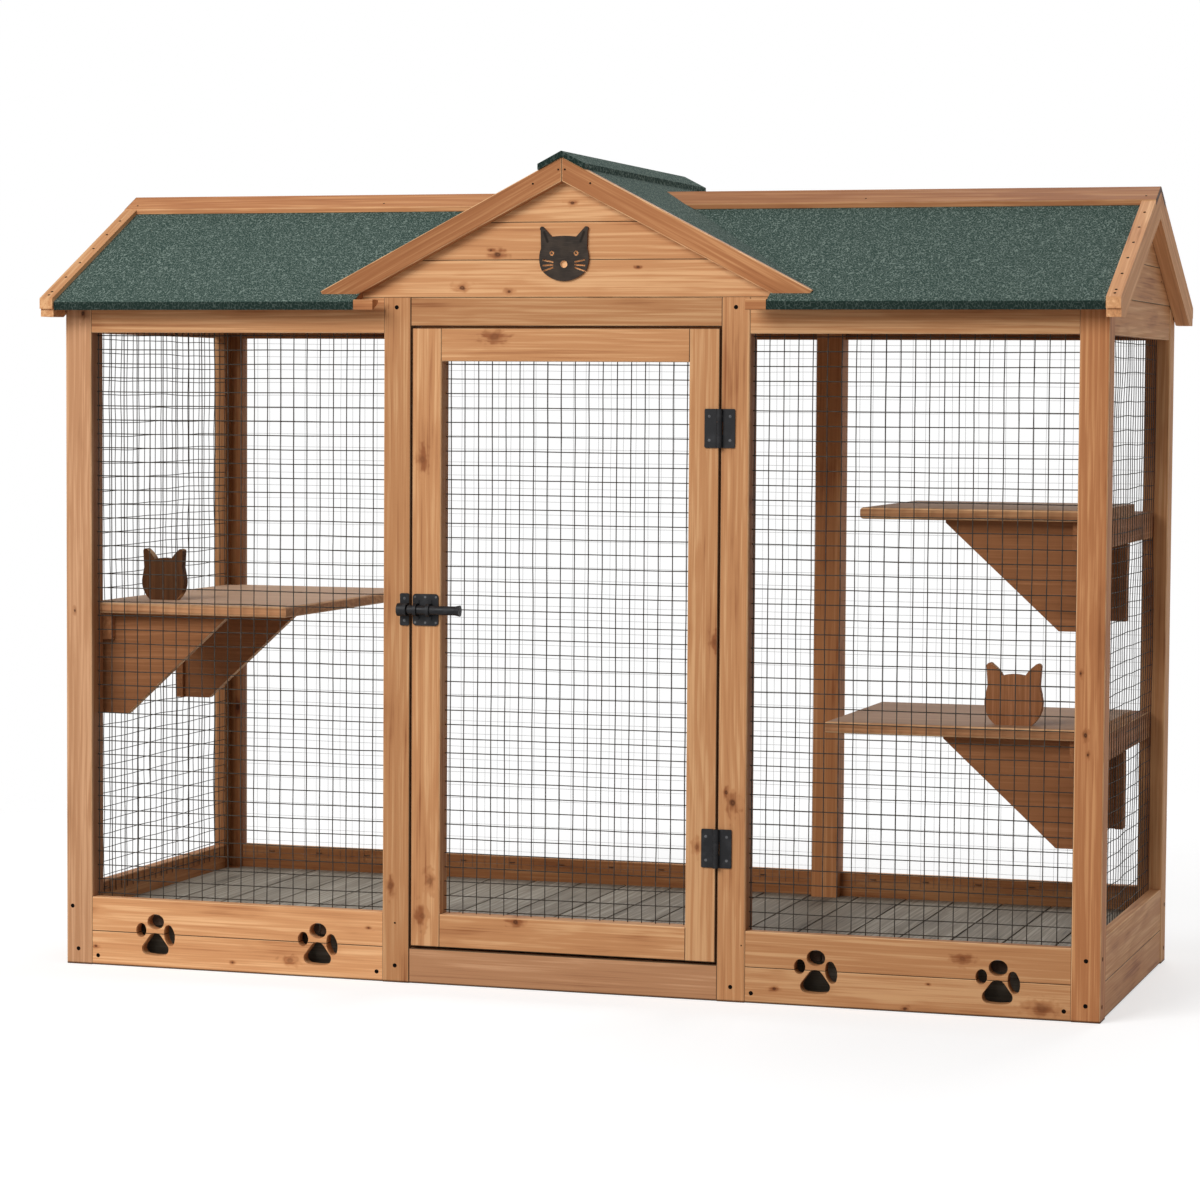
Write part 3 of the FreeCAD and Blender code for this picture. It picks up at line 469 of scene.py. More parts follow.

# %% [markdown]
# Joint lines. Where two boards meet, stain and dirt gather in the crack, and the eye reads that thin
# dark line as the joint. The same dark line is also painted shade: a painted contact shadow along the
# ground, and painted shade in the gap round the door and on a few shaded ends. A joint is a plane, so
# its mask is the distance to that plane, faded out within a few millimetres, and a depth says how far
# back from the front the dark goes: it fills a tight joint all the way, but only the mouth of the gap
# round the door. The group hands on the mask that it was given, so several joints can be chained.

# %% Group: joint line
joint_line, given, result = new_group(
    "Joint line",
    {"Vector": "Position Axis", "Float": "Place Reach Front Depth Line"},
    {"Float": "Line"},
)
away = abs(dot(given["Position"], given["Axis"]) - given["Place"])
joint = ease(away / given["Reach"], 0.35, 1.0, 1.0, 0.0)
behind = parts(given["Position"])[1] - given["Front"]
mouth = ease(behind / given["Depth"], 0.4, 1.0, 1.0, 0.0)
result["Line"] = larger(joint * mouth, given["Line"])
print("group:", joint_line.name)

# %% [markdown]
# Painted inner shade. The faces that look into the run get less light, so a painted shade gives them a
# deeper brown. How far a point lies behind the outer faces of the frame tells which it is: nothing within
# a couple of millimetres, all of it from about a centimetre in. Faces that look up get more light inside
# as well, so they get only a quarter of the painted shade.

# %% Group: painted inner shade
frame_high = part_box("rear_right_post")[1]
painted_inner_shade, given, result = new_group(
    "Painted inner shade",
    {"Color": "Color Shade", "Vector": "Position", "Float": "Amount"},
    {"Color": "Color"},
)
spread = parts(abs(given["Position"]))
inside_x = frame_high.x - spread[0]
inside_y = frame_high.y - spread[1]
inside = ease(inside_x.work("MINIMUM", inside_x, inside_y), 0.003, 0.014) * given["Amount"]
# The painted shade: the colour times the shade colour, inside the frame's outer faces.
result["Color"] = blend(inside, given["Color"], given["Shade"], "MULTIPLY")
print("group:", painted_inner_shade.name)

# %% [markdown]
# The timber finishes. The frame has a warm brown stain, which a few pieces took greyer and the roof's
# trim took deeper. The boards inside are painted a deeper brown, as painted shade for the light they
# lack; the shelves are browner and duller, the cat heads are darker, the left one with painted shade,
# and the floor is left raw and has gone grey. A finish here is four colours: light wood, middle, deep
# streak and knot.

# %% Timber finishes
finish_charts = {
    "frame_stain": ((222, 171, 123), (198, 141, 95), (150, 92, 56), (84, 48, 29)),
    "sill_stain": ((200, 152, 114), (178, 129, 92), (142, 96, 66), (70, 44, 30)),
    "trim_stain": ((200, 142, 95), (174, 114, 72), (132, 79, 46), (66, 38, 24)),
    # Painted shade: the boards inside are darker for the light they lack.
    "inner_stain_and_shade": ((164, 111, 74), (146, 96, 62), (122, 78, 48), (66, 40, 26)),
    "shelf_stain": ((206, 154, 110), (178, 126, 88), (130, 86, 56), (70, 46, 32)),
    "cut_out_stain": ((156, 104, 70), (134, 86, 54), (100, 62, 38), (60, 36, 24)),
    # Painted shade on the cat head that stands further inside.
    "shaded_stain": ((112, 74, 48), (92, 60, 38), (68, 43, 27), (44, 28, 18)),
    "raw_grey": ((158, 150, 136), (128, 119, 106), (82, 75, 66), (58, 52, 46)),
}
finishes = {name: [paint(*chart) for chart in charts] for name, charts in finish_charts.items()}
outdoor_finishes = ("frame_stain", "sill_stain", "trim_stain")
# The colour of the edges: bare wood and painted highlight.
bare_wood_highlight = paint(238, 192, 144)
# A greyer colour for the top faces of the shelves.
top_face_grey = paint(176, 150, 127)
# A painted light on the wood behind the cat head plate, seen through its cuts.
painted_light_behind_plate = paint(230, 182, 134)
# Dark of the joints; also painted shade in the door gap and on a few ends, and painted ground shadow.
crack_and_shade = paint(46, 26, 16)
# The colour that multiplies the faces inside the run: painted shade.
inner_shade_colour = (0.57, 0.48, 0.41, 1.0)
print("finishes:", ", ".join(finishes))

# %% [markdown]
# How boards lie. A lay names the direction along the grain, the direction through the board, and the
# axes that are folded for mirrored pairs. On the roof these directions follow the slopes.

# %% Lays
x_axis = Vector((1, 0, 0))
y_axis = Vector((0, 1, 0))
z_axis = Vector((0, 0, 1))
axes = {"X": x_axis, "Y": y_axis, "Z": z_axis}
roof_pitch = math.radians(26.0)
gable_pitch = math.radians(27.3)
down_roof = Vector((0, math.cos(roof_pitch), -math.sin(roof_pitch)))
off_roof = Vector((0, math.sin(roof_pitch), math.cos(roof_pitch)))
down_gable = Vector((math.cos(gable_pitch), 0, -math.sin(gable_pitch)))
off_gable = Vector((math.sin(gable_pitch), 0, math.cos(gable_pitch)))
no_fold = (0, 0, 0)
lays = {
    "upright": (z_axis, y_axis, no_fold),
    "along_front": (x_axis, y_axis, no_fold),
    "along_side": (y_axis, x_axis, no_fold),
    "floor": (y_axis, z_axis, no_fold),
    "shelf": (x_axis, z_axis, no_fold),
    "ridge": (x_axis, off_roof, (0, 1, 0)),
    "verge": (down_roof, x_axis, (0, 1, 0)),
    "barge": (down_gable, y_axis, (1, 0, 0)),
    "gable_deck": (y_axis, off_gable, (1, 0, 0)),
}


def turn_of(lay):
    """The turn that brings a board's length to X and its thickness to Y."""
    lengthwise, thickness = lays[lay][:2]
    rows = Matrix((lengthwise, thickness, lengthwise.cross(thickness)))
    return tuple(rows.to_euler("XYZ"))


print("lays:", ", ".join(lays))

# %% [markdown]
# One timber material chains the groups: board space, knots, the wood itself, its edges with painted
# highlight and wear, and its joints, with painted shade in some. On top come a greyer colour on the
# shelves' top faces and painted light and shade: one half of a piece lighter or darker than the other,
# and a painted deeper brown on the faces inside the run.

# %% Timber material
whole = 100.0
small_knots = 0.02
edge_light_and_wear = 0.7
crack_and_shade_strength = 0.85
top_grey_share = 0.6
half_blend = 0.3
dull_shine = 0.05
outdoor_shine = 0.10


def toned(colour, tone):
    """A colour made lighter or darker, with a darker one a little redder, as a second coat of stain is."""
    return (colour[0] * tone ** 0.9, colour[1] * tone, colour[2] * tone ** 1.1, 1.0)


def behind_plate(spot, covered):
    """A rounded box of painted light behind a plate, inside its outline; covered holds its corners."""
    low, high = covered
    size = high - low
    centre = low + Vector((0.5 * size.x, 0, 0.385 * size.z))
    away = (spot - centre) * (1 / (0.444 * size.x), 0, 1 / (0.30 * size.z))
    return ease(length(away * away), 0.8, 1.0, 1.0, 0.0)


def timber(name, lay, finish, seed, split, knots, joints, tones, inner_shade, top_grey, covered):
    """One timber material.

    split holds (axis, first joint, board width) where a piece has several boards, knots holds
    (centre, radius, darkness) and joints holds (axis, place, reach, front, depth) of the lines where
    boards meet, some of which are painted shade. The first of the tones lightens or darkens the stain and
    carries painted light and shade; the second paints light and shade once more on the piece's right
    half. The next argument is the share of painted shade on the faces inside the run. The grey of the
    top faces has a tone of its own, or 0 for none. Behind a plate, whose corners are in covered, painted
    light brightens the wood.
    """
    material, tree, shader = new_material(name)
    where = place(tree, "ShaderNodeTexCoord")
    spot = where["Object"]
    first = [-whole / 2] * 3
    cell = [whole] * 3
    for axis, joint, board_width in split:
        first["XYZ".index(axis)] = joint
        cell["XYZ".index(axis)] = board_width
    turn = turn_of(lay)
    board = use(tree, board_space, Position=spot, Normal=where["Normal"], Turn=turn, Fold=lays[lay][2],
                First=first, Cell=cell, Seed=seed)
    grain = {"Position": board["Position"], "Chance": board["Chance"]}
    knot = use(tree, scattered, Amount=small_knots, **grain)
    for centre, radius, darkness in knots:
        centre = Euler(turn).to_matrix() @ Vector(centre)
        knot = use(tree, one_knot, Position=board["Position"], Centre=centre, Radius=radius,
                   Darkness=darkness, Core=knot["Core"], Halo=knot["Halo"])
    light, middle, deep, dark = [toned(colour, tones[0]) for colour in finishes[finish]]
    wood = use(tree, softwood, Core=knot["Core"], Halo=knot["Halo"], Light=light, Middle=middle,
               Deep=deep, Knot=dark, **grain)
    # Every chamfer lightened: painted highlight, with wear.
    bare = light if finish == "raw_grey" else bare_wood_highlight
    colour = use(tree, edge_highlight_and_wear, Color=wood["Color"], Normal=board["Normal"], Position=board["Position"],
                 Bare=bare, Wear=edge_light_and_wear)["Color"]
    line = 0.0
    for axis, at, reach, front, depth in joints:
        line = use(tree, joint_line, Position=spot, Axis=axes[axis], Place=at, Reach=reach, Front=front,
                   Depth=depth, Line=line)["Line"]
    # Dark joint lines, with painted shadow and shade where the joints say so.
    if joints:
        colour = blend(line * crack_and_shade_strength, colour, crack_and_shade)
    # Painted light behind the cat head plate.
    if covered:
        colour = blend(behind_plate(spot, covered), colour, painted_light_behind_plate)
    up = parts(where["Normal"])[2]
    # A greyer colour on the faces that look up.
    if top_grey:
        colour = blend(ease(up, 0.8, 0.98, 0.0, top_grey_share), colour, toned(top_face_grey, top_grey))
    # Painted light and shade on the piece's right half.
    right_half = ease(parts(spot)[0], -half_blend, half_blend)
    colour = blend(right_half, colour, toned(white, tones[1]), "MULTIPLY")
    # Painted shade on the faces inside the run.
    colour = use(tree, painted_inner_shade, Color=colour, Position=spot, Shade=inner_shade_colour,
                 Amount=ease(up, 0.6, 0.95, inner_shade, 0.25 * inner_shade))["Color"]
    shine = outdoor_shine if finish in outdoor_finishes else dull_shine
    coat(shader, colour, wood["Roughness"], wood["Height"], 0.35, 0.0006, shine)
    return material


def dress(node, material):
    """Gives a piece of the model one material in all its slots."""
    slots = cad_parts[node].material_slots
    for slot in slots:
        slot.material = material
    if not slots:
        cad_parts[node].data.materials.append(material)


print("small knots in", small_knots, "of the cells")

# %% [markdown]
# Where the knots are. The scattered ones fill the timber, but the large knots of the front are part of
# how this piece looks, so they are set one by one: across, up, and the radius of the core. Some have a
# dark core, and others are only a faint brown patch. No two boards take the stain alike either, so a few
# get a tone of their own, where 1 is the stain as mixed; these tones also carry painted light and shade,
# matched to how each piece is lit. The right half of a few is painted lighter or darker once more, a few
# get less painted inner shade than the rest, and the shelves' top faces take a grey of their own tone.

# %% The large knots
knots_of = {
    "front_gable_boards": [
        (0.013, 1.375, 0.0030), (-0.122, 1.286, 0.0050), (-0.135, 1.294, 0.0026),
        (-0.188, 1.229, 0.0042), (-0.101, 1.222, 0.0030), (0.133, 1.264, 0.0022),
    ],
    "door_rails": [(-0.084, 0.119, 0.0045)],
    "front_mid_left_post": [(-0.334, 1.188, 0.0040)],
    "front_mid_right_post": [(0.310, 0.345, 0.0065), (0.298, 0.363, 0.0030)],
    "front_right_post": [(0.918, 0.483, 0.0030), (0.922, 0.450, 0.0020), (0.908, 0.586, 0.0020)],
    "front_left_post": [(-0.932, 0.646, 0.0022), (-0.915, 1.185, 0.0040)],
    "front_left_plinth": [(-0.622, 0.018, 0.0022), (-0.892, 0.034, 0.0025), (-0.360, 0.094, 0.0022)],
    "front_right_plinth": [(0.616, 0.006, 0.0030), (0.386, 0.027, 0.0025), (0.655, 0.050, 0.0015)],
}
faint_knots_of = {
    "door_rails": [(-0.127, 1.144, 0.0066)],
    "door_stiles": [
        (-0.261, 0.928, 0.0055), (-0.243, 0.183, 0.0055), (-0.258, 0.121, 0.0056), (0.276, 0.622, 0.0046),
        (0.246, 0.266, 0.0040),
    ],
    "front_mid_left_post": [(-0.318, 0.170, 0.0050)],
    "front_left_plinth": [(-0.510, 0.027, 0.0045)],
    "front_right_plinth": [(0.714, 0.097, 0.0052), (0.850, 0.020, 0.0074)],
}
dark_core = 1.0
faint_core = 0.35
# Tones: the stain's own tone, with painted light and shade matched to how each piece is lit.
tone_and_light_of = {
    "door_header": 0.78, "front_mid_left_post": 0.86, "front_mid_right_post": 0.97, "front_right_post": 1.15,
    "front_right_plinth": 0.90, "front_left_plinth": 1.30, "front_left_post": 1.18, "door_sill": 1.10,
    "front_left_top_rail": 1.10, "front_right_top_rail": 0.94, "front_gable_boards": 1.04,
    "main_ridge_boards": 1.18, "gable_barge_boards": 0.78, "right_side_plinth": 0.98,
    "right_side_top_rail": 1.06, "right_gable_boards": 1.04, "right_verge_boards": 1.20,
    "shelf_cleats": 1.15, "left_shelf": 1.04, "right_upper_shelf": 0.65, "right_lower_shelf": 0.86,
    "right_cat_figure": 1.24, "rear_mid_post": 1.46, "rear_left_post": 0.73, "rear_right_post": 1.04,
    "floor_boards": 1.44,
}
# The right half of these pieces painted lighter or darker, as the light falls on it.
right_half_light_of = {
    "main_ridge_boards": 0.68, "gable_barge_boards": 1.31, "floor_boards": 0.68, "door_stiles": 0.94,
}
# How much painted inner shade these pieces get.
inner_shade_of = {"rear_right_post": 0.45, "door_stiles": 0.6, "left_side_plinth": 0.7, "door_sill": 0.0}
# Tones of the grey on the shelves' top faces.
top_grey_of = {"left_shelf": 1.6, "right_upper_shelf": 1.18, "right_lower_shelf": 0.8}
knot_lists = [*knots_of.values(), *faint_knots_of.values()]
print("large knots:", sum(len(places) for places in knot_lists))

# %% [markdown]
# Where boards meet. A piece of several boards has places where one board ends and the next begins. Its
# joint lines lie there and at the ends that butt against another piece. The same dark line is painted
# as a contact shadow along the ground, as shade in the gap round the door and on a few shaded ends.
# Places are read from the pieces' own boxes.

# %% Where boards meet
plank = 0.062
gable_plank = 0.065
floor_plank_count = 20
joint_reach = 0.0011
# Painted contact shadow along the ground, and painted shade in the gap round the door:
ground_shadow_reach = 0.0045
gap_shade_reach = 0.0019
gap_shade_depth = 0.009
post_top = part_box("front_mid_left_post")[1].z
floor_low, floor_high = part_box("floor_boards")
halves_x = ("X", 0.0, whole)
halves_y = ("Y", 0.0, whole)
back_halves = ("X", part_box("rear_mid_post")[0].x, whole)
lower_plank = ("Z", plank, whole)
door_rail_split = ("Z", 0.6, whole)
first_gable_joint = post_top + gable_plank
second_gable_joint = first_gable_joint + gable_plank
lower_gable = ("Z", first_gable_joint, whole)
pediment_planks = ("Z", post_top, gable_plank)
pediment_joints = (post_top, first_gable_joint, second_gable_joint)
floor_planks = ("X", floor_low.x, (floor_high.x - floor_low.x) / floor_plank_count)
# The edges round the door that get painted shade in the gap.
door_gap_shade_edges = [
    ("front_mid_left_post", "X", 1), ("front_mid_right_post", "X", 0), ("door_header", "Z", 0),
    ("door_sill", "Z", 1), ("door_stiles", "X", 0), ("door_stiles", "X", 1), ("door_stiles", "Z", 0),
    ("door_stiles", "Z", 1), ("door_rails", "Z", 0), ("door_rails", "Z", 1),
]


def joints_of(node, ends, levels):
    """Joint lines at ends and inner joints; painted shadow along the ground and shade in the door gap."""
    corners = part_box(node)
    low = corners[0]
    tight = []
    for axis in ends:
        for corner in corners:
            tight.append((axis, corner["XYZ".index(axis)], joint_reach))
    for level in levels:
        tight.append(("Z", level, joint_reach))
    if low.z < ground_shadow_reach:
        tight.append(("Z", low.z, ground_shadow_reach))
    if node == "gable_barge_boards":
        tight.append(("X", 0.0, joint_reach))
    joints = [(axis, at, reach, low.y, whole) for axis, at, reach in tight]
    for beside, axis, end in door_gap_shade_edges:
        if beside == node:
            joints.append((axis, corners[end]["XYZ".index(axis)], gap_shade_reach, low.y, gap_shade_depth))
    return joints


print("gaps round the door:", len(door_gap_shade_edges), "posts end at", round(post_top, 3), "m")

# %% [markdown]
# Dressing the timber. Each row names pieces that are cut alike: how their boards lie, their finish,
# where one board ends and the next begins, the ends that butt against another piece, and the levels of
# the joints inside the piece.


# %% Dress the timber
def pair(pattern, first="left", second="right"):
    return pattern.format(first), pattern.format(second)


rear_posts = ("rear_left_post", "rear_mid_post", "rear_right_post")
front_rails = (*pair("front_{}_top_rail"), "door_header")
shelves = ("left_shelf", "right_upper_shelf", "right_lower_shelf")
pediments = pair("{}_gable_boards", "front", "rear")
timber_rows = [
    (("front_left_post",), "upright", "sill_stain", (), "", ()),
    (pair("front_mid_{}_post"), "upright", "frame_stain", (), "", ()),
    (("front_right_post",), "upright", "trim_stain", (), "", ()),
    (rear_posts, "upright", "frame_stain", (), "", ()),
    (front_rails, "along_front", "frame_stain", (), "X", ()),
    (("door_sill",), "along_front", "sill_stain", (), "X", ()),
    (pair("front_{}_plinth"), "along_front", "frame_stain", (lower_plank,), "X", (plank,)),
    (pair("{}_side_plinth"), "along_side", "frame_stain", (lower_plank,), "Y", (plank,)),
    (("rear_plinth",), "along_front", "frame_stain", (lower_plank, back_halves), "X", (plank,)),
    (pair("{}_side_top_rail"), "along_side", "frame_stain", (), "Y", ()),
    (("rear_top_rails",), "along_front", "frame_stain", (back_halves,), "X", ()),
    (pair("{}_gable_boards"), "along_side", "frame_stain", (lower_gable,), "", pediment_joints[:2]),
    (pediments, "along_front", "frame_stain", (pediment_planks,), "", pediment_joints),
    # The ridge boards' darkened ends are painted shade on their end grain.
    (("main_ridge_boards",), "ridge", "trim_stain", (halves_x,), "X", ()),
    (pair("{}_verge_boards"), "verge", "frame_stain", (), "", ()),
    (("gable_barge_boards",), "barge", "trim_stain", (halves_y,), "", ()),
    (("eave_end_blocks",), "along_front", "trim_stain", (halves_x,), "", ()),
    (("door_stiles",), "upright", "frame_stain", (halves_x,), "", ()),
    (("door_rails",), "along_front", "frame_stain", (door_rail_split,), "X", ()),
    (pair("{}_roof_decks"), "ridge", "inner_stain_and_shade", (), "", ()),
    (("gable_roof_decks",), "gable_deck", "inner_stain_and_shade", (), "", ()),
    (shelves, "shelf", "shelf_stain", (), "", ()),
    (("shelf_cleats",), "along_side", "inner_stain_and_shade", (("Z", 0.0, 0.25),), "", ()),
    (("shelf_brackets",), "along_front", "inner_stain_and_shade", (halves_x, halves_y), "", ()),
    (("left_cat_figure",), "upright", "shaded_stain", (), "", ()),
    (("right_cat_figure",), "upright", "cut_out_stain", (), "", ()),
    # The floor boards' darkened ends are painted shade under the plinth.
    (("floor_boards",), "floor", "raw_grey", (floor_planks,), "Y", ()),
    (("floor_joists",), "along_front", "raw_grey", (("Y", 0.1, 0.2),), "", ()),
]
seed_step = 1.7
dressed = 0
for nodes, lay, finish, split, ends, levels in timber_rows:
    for node in nodes:
        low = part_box(node)[0]
        knots = []
        for places, darkness in ((knots_of, dark_core), (faint_knots_of, faint_core)):
            for across, up, radius in places.get(node, ()):
                knots.append(((across, low.y, up), radius, darkness))
        tones = (tone_and_light_of.get(node, 1.0), right_half_light_of.get(node, 1.0))
        outdoor = finish in outdoor_finishes and low.z < post_top
        inner_shade = inner_shade_of.get(node, 1.0) if outdoor else 0.0
        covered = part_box("cat_emblem") if node == "front_gable_boards" else None
        looks_and_painted_light = (tones, inner_shade, top_grey_of.get(node, 0.0), covered)
        joints = joints_of(node, ends, levels)
        dress(node, timber(node + "_wood", lay, finish, seed_step * dressed, split, knots, joints, *looks_and_painted_light))
        dressed += 1
print("timber pieces dressed:", dressed)

# %% [markdown]
# Roofing felt. Green mineral felt is bitumen sheet with coloured stone grit rolled into it. In the
# picture the grit catches the light as short pale squiggles on a dark green ground. Lines of equal
# value in a noise are just such squiggles: a thin band round one half, broken up by a second noise.
# Where the sheet is turned down over the eave it is painted darker: painted shade on the upright strip.

# %% Roofing felt
felt, tree, shader = new_material("green_mineral_felt")
where = place(tree, "ShaderNodeTexCoord")
spot = where["Object"]
worms = noise(spot, (225, 155, 155), 0.0)
breaks = noise(spot, (150, 100, 100), 0.0)
squiggle = ease(abs(worms - 0.5), 0.015, 0.085, 1.0, 0.0) * ease(breaks, 0.3, 0.55, 0.75, 1.0)
grit = noise(spot, (900, 900, 900))
weather = noise(spot, (4, 4, 4), 3.0)
ground = blend(ease(weather, 0.3, 0.7), paint(53, 71, 65), paint(58, 75, 69))
ground = blend(ease(grit, 0.35, 0.7), ground, paint(68, 86, 79))
colour = blend(squiggle * 0.76, ground, paint(140, 156, 147))
# Painted shade on the turned-down strip, which faces front and back.
turned_down = parts(abs(where["Normal"]))[1]
colour = blend(ease(turned_down, 0.6, 0.95, 0.0, 0.75), colour, paint(16, 29, 25))
coat(shader, colour, ease(grit, 0.2, 0.8, 0.98, 0.78), grit * 0.6 + squiggle, 0.5, 0.0008, 0.04)
for node in ("left_roof_felt", "right_roof_felt", "gable_roof_felt", "gable_ridge_cap"):
    dress(node, felt)
print("felt on the roof")

# %% [markdown]
# Ironmongery. Hinges and bolt are steel with a satin black coating: nearly black, a little uneven.
# Their screw heads are rubbed grey by the driver. Screws and nails in the timber have browned to near
# black. The wire is galvanised and has dulled to a dark grey, less so at the back. One function makes
# all of them from two colours, a roughness and a shine.


# %% Metal finishes
def metal(name, dark, pale, roughness, shine):
    """A coated metal: two colours mixed by patches, a fine grain in the bump, uneven gloss."""
    material, tree, shader = new_material(name)
    spot = place(tree, "ShaderNodeTexCoord")["Object"]
    cloudy = noise(spot, (60, 60, 60), 3.0)
    fine = noise(spot, (700, 700, 700))
    colour = blend(ease(cloudy, 0.45, 0.75), dark, pale)
    colour = blend(ease(fine, 0.55, 0.85, 0.0, 0.5), colour, pale)
    gloss = ease(cloudy, 0.3, 0.7, roughness - 0.08, roughness + 0.1)
    coat(shader, colour, gloss, fine, 0.25, 0.0003, shine)
    return material


black_iron = metal("satin_black_iron", paint(26, 26, 28), paint(44, 44, 46), 0.45, 0.2)
worn_iron = metal("rubbed_iron", paint(72, 72, 74), paint(116, 116, 118), 0.4, 0.4)
dark_iron = metal("browned_iron", paint(16, 13, 11), paint(30, 25, 21), 0.8, 0.03)
wire = metal("dulled_wire", paint(56, 51, 45), paint(86, 79, 71), 0.55, 0.15)
bright_wire = metal("bright_wire", paint(96, 93, 89), paint(146, 143, 138), 0.5, 0.3)
for node in ("post_hinge_leaves", "door_hinge_leaves", "latch_plate", "latch_keeper", "latch_bolt"):
    dress(node, black_iron)
metals = (black_iron, worn_iron, dark_iron, wire, bright_wire)
print("metal finishes:", ", ".join(made.name for made in metals))

# %% [markdown]
# The cat head plate is dark board with a dry, brushed face. Its sides show the brown of the board it
# was sawn from, the narrow cuts of the face are painted pale, as painted light for the lit wood seen
# through them, and each ear has a darker stroke. A stroke is a line between two points, so its mask is
# the distance to the nearest point of that line.
# The sawn sides are found by their normal, and the cuts among them by their place on the plate.


# %% Cat head plate
def stroke(spot, start, end, half_width):
    """A mask that is 1 along a straight stroke between two points and fades at its sides."""
    run = end - start
    from_start = spot - start
    share = place(spot.tree, "ShaderNodeClamp", {0: dot(from_start, run / run.length_squared)})[0]
    nearest = place(spot.tree, "ShaderNodeVectorMath", {0: run, "Scale": share}, operation="SCALE")[0]
    return ease(length(from_start - nearest), 0.5 * half_width, 1.5 * half_width, 1.0, 0.0)


stroke_half_width = 0.0022
face_half = 0.0388
fade_width = 0.0008
chin_level = 0.17
brow_level = 0.62
low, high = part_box("cat_emblem")
plate, tree, shader = new_material("dark_plate_board")
where = place(tree, "ShaderNodeTexCoord")
spot = where["Object"]
brushed = noise(spot, (60, 200, 900), 3.0)
cloudy = noise(spot, (45, 45, 45), 3.0)
colour = blend(ease(cloudy, 0.35, 0.65), paint(50, 43, 38), paint(66, 57, 50))
colour = blend(ease(brushed, 0.45, 0.8, 0.0, 0.6), colour, paint(80, 70, 62))
flat_spot = spot * (1, 0, 1)
for side in (-1, 1):
    ear_tip = Vector((side * 0.036, 0, high.z - 0.010))
    ear_root = Vector((side * 0.030, 0, high.z - 0.026))
    mark = stroke(flat_spot, ear_tip, ear_root, stroke_half_width)
    colour = blend(mark * 0.75, colour, paint(26, 21, 18))
apart = parts(spot)
chin = low.z + chin_level * (high.z - low.z)
brow = low.z + brow_level * (high.z - low.z)
# The painted light on the walls of the cuts, found by their place on the plate.
painted_light_cuts = ease(abs(apart[0]), face_half, face_half + fade_width, 1.0, 0.0)
painted_light_cuts = painted_light_cuts * ease(apart[2], chin, chin + fade_width)
painted_light_cuts = painted_light_cuts * ease(apart[2], brow, brow + fade_width, 1.0, 0.0)
sawn_sides_and_painted_cuts = blend(painted_light_cuts, paint(104, 60, 34), paint(246, 216, 182))
front = parts(abs(where["Normal"]))[1]
colour = blend(ease(front, 0.4, 0.7, 0.95, 0.0), colour, sawn_sides_and_painted_cuts)
coat(shader, colour, ease(cloudy, 0.3, 0.7, 0.62, 0.8), brushed, 0.25, 0.0003, 0.1)
dress("cat_emblem", plate)
print("cat head plate:", plate.name, "centre at", [round(value, 3) for value in (low + high) / 2])

# %% [markdown]
# Welded mesh. Each wall is a net of 25.4 mm squares, upright wires in front and level wires welded
# behind them. Hundreds of equal wires are a job for Geometry Nodes: one line of points, one wire
# copied to each of them, the same for the other direction, and a slow noise that bends them slightly
# as handling does. The tree takes the panel's size as inputs, so one tree makes all seven panels.

# %% Geometry Nodes: welded mesh
wire_sides = 5
bend_scale = 7.0
mesh_inputs = {
    "Geometry": "Geometry", "Vector": "Corner", "Float": "Turn Width Height Pitch Wire Waviness Seed",
    "Material": "Material",
}
shape_output = {"Geometry": "Geometry"}


def one_way_wires(tree, given, span, count_span, level):
    """Straight wires along X or Z at every pitch, as curves; span is the wire's length."""
    pitch = given["Pitch"]
    gaps = (count_span / pitch).only("FLOOR")
    margin = (count_span - gaps * pitch) * 0.5
    step_axis, wire_axis = (2, 0) if level else (0, 2)
    start = join_parts(tree, {step_axis: margin, 1: given["Wire"] if level else 0.0})
    step = join_parts(tree, {step_axis: pitch})
    sockets = {"Count": gaps + 1.0, "Start Location": start, "Offset": step}
    row = place(tree, "GeometryNodeMeshLine", sockets, mode="OFFSET")
    end = join_parts(tree, {wire_axis: span})
    line = place(tree, "GeometryNodeCurvePrimitiveLine", {"End": end})
    sockets = {"Curve": line[0], "Count": (span / pitch).only("FLOOR") + 1.0}
    line = place(tree, "GeometryNodeResampleCurve", sockets)
    copies = place(tree, "GeometryNodeInstanceOnPoints", {"Points": row[0], "Instance": line[0]})
    return place(tree, "GeometryNodeRealizeInstances", {0: copies[0]})[0]


def finish_shape(tree, shape, given, result):
    """The end of each tree: real geometry in the material that was given."""
    real = place(tree, "GeometryNodeRealizeInstances", {0: shape})[0]
    sockets = {"Geometry": real, "Material": given["Material"]}
    result[0] = place(tree, "GeometryNodeSetMaterial", sockets)[0]


mesh_tree, given, result = new_group("Welded mesh", mesh_inputs, shape_output, "GeometryNodeTree")
uprights = one_way_wires(mesh_tree, given, given["Height"], given["Width"], False)
levels = one_way_wires(mesh_tree, given, given["Width"], given["Height"], True)
join = place(mesh_tree, "GeometryNodeJoinGeometry")
for wires in (uprights, levels):
    join[0] = wires
here = place(mesh_tree, "GeometryNodeInputPosition")[0]
sockets = {"Vector": here + given["Seed"], "Scale": bend_scale, "Detail": 1.0}
bent = place(mesh_tree, "ShaderNodeTexNoise", sockets)["Color"] - (0.5, 0.5, 0.5)
sockets = {0: bent, "Scale": given["Waviness"]}
bent = place(mesh_tree, "ShaderNodeVectorMath", sockets, operation="SCALE")[0]
shaken = place(mesh_tree, "GeometryNodeSetPosition", {"Geometry": join[0], "Offset": bent})
sockets = {"Resolution": wire_sides, "Radius": given["Wire"] * 0.5}
ring = place(mesh_tree, "GeometryNodeCurvePrimitiveCircle", sockets)
sockets = {"Curve": shaken[0], "Profile Curve": ring[0], "Fill Caps": True}
tubes = place(mesh_tree, "GeometryNodeCurveToMesh", sockets)
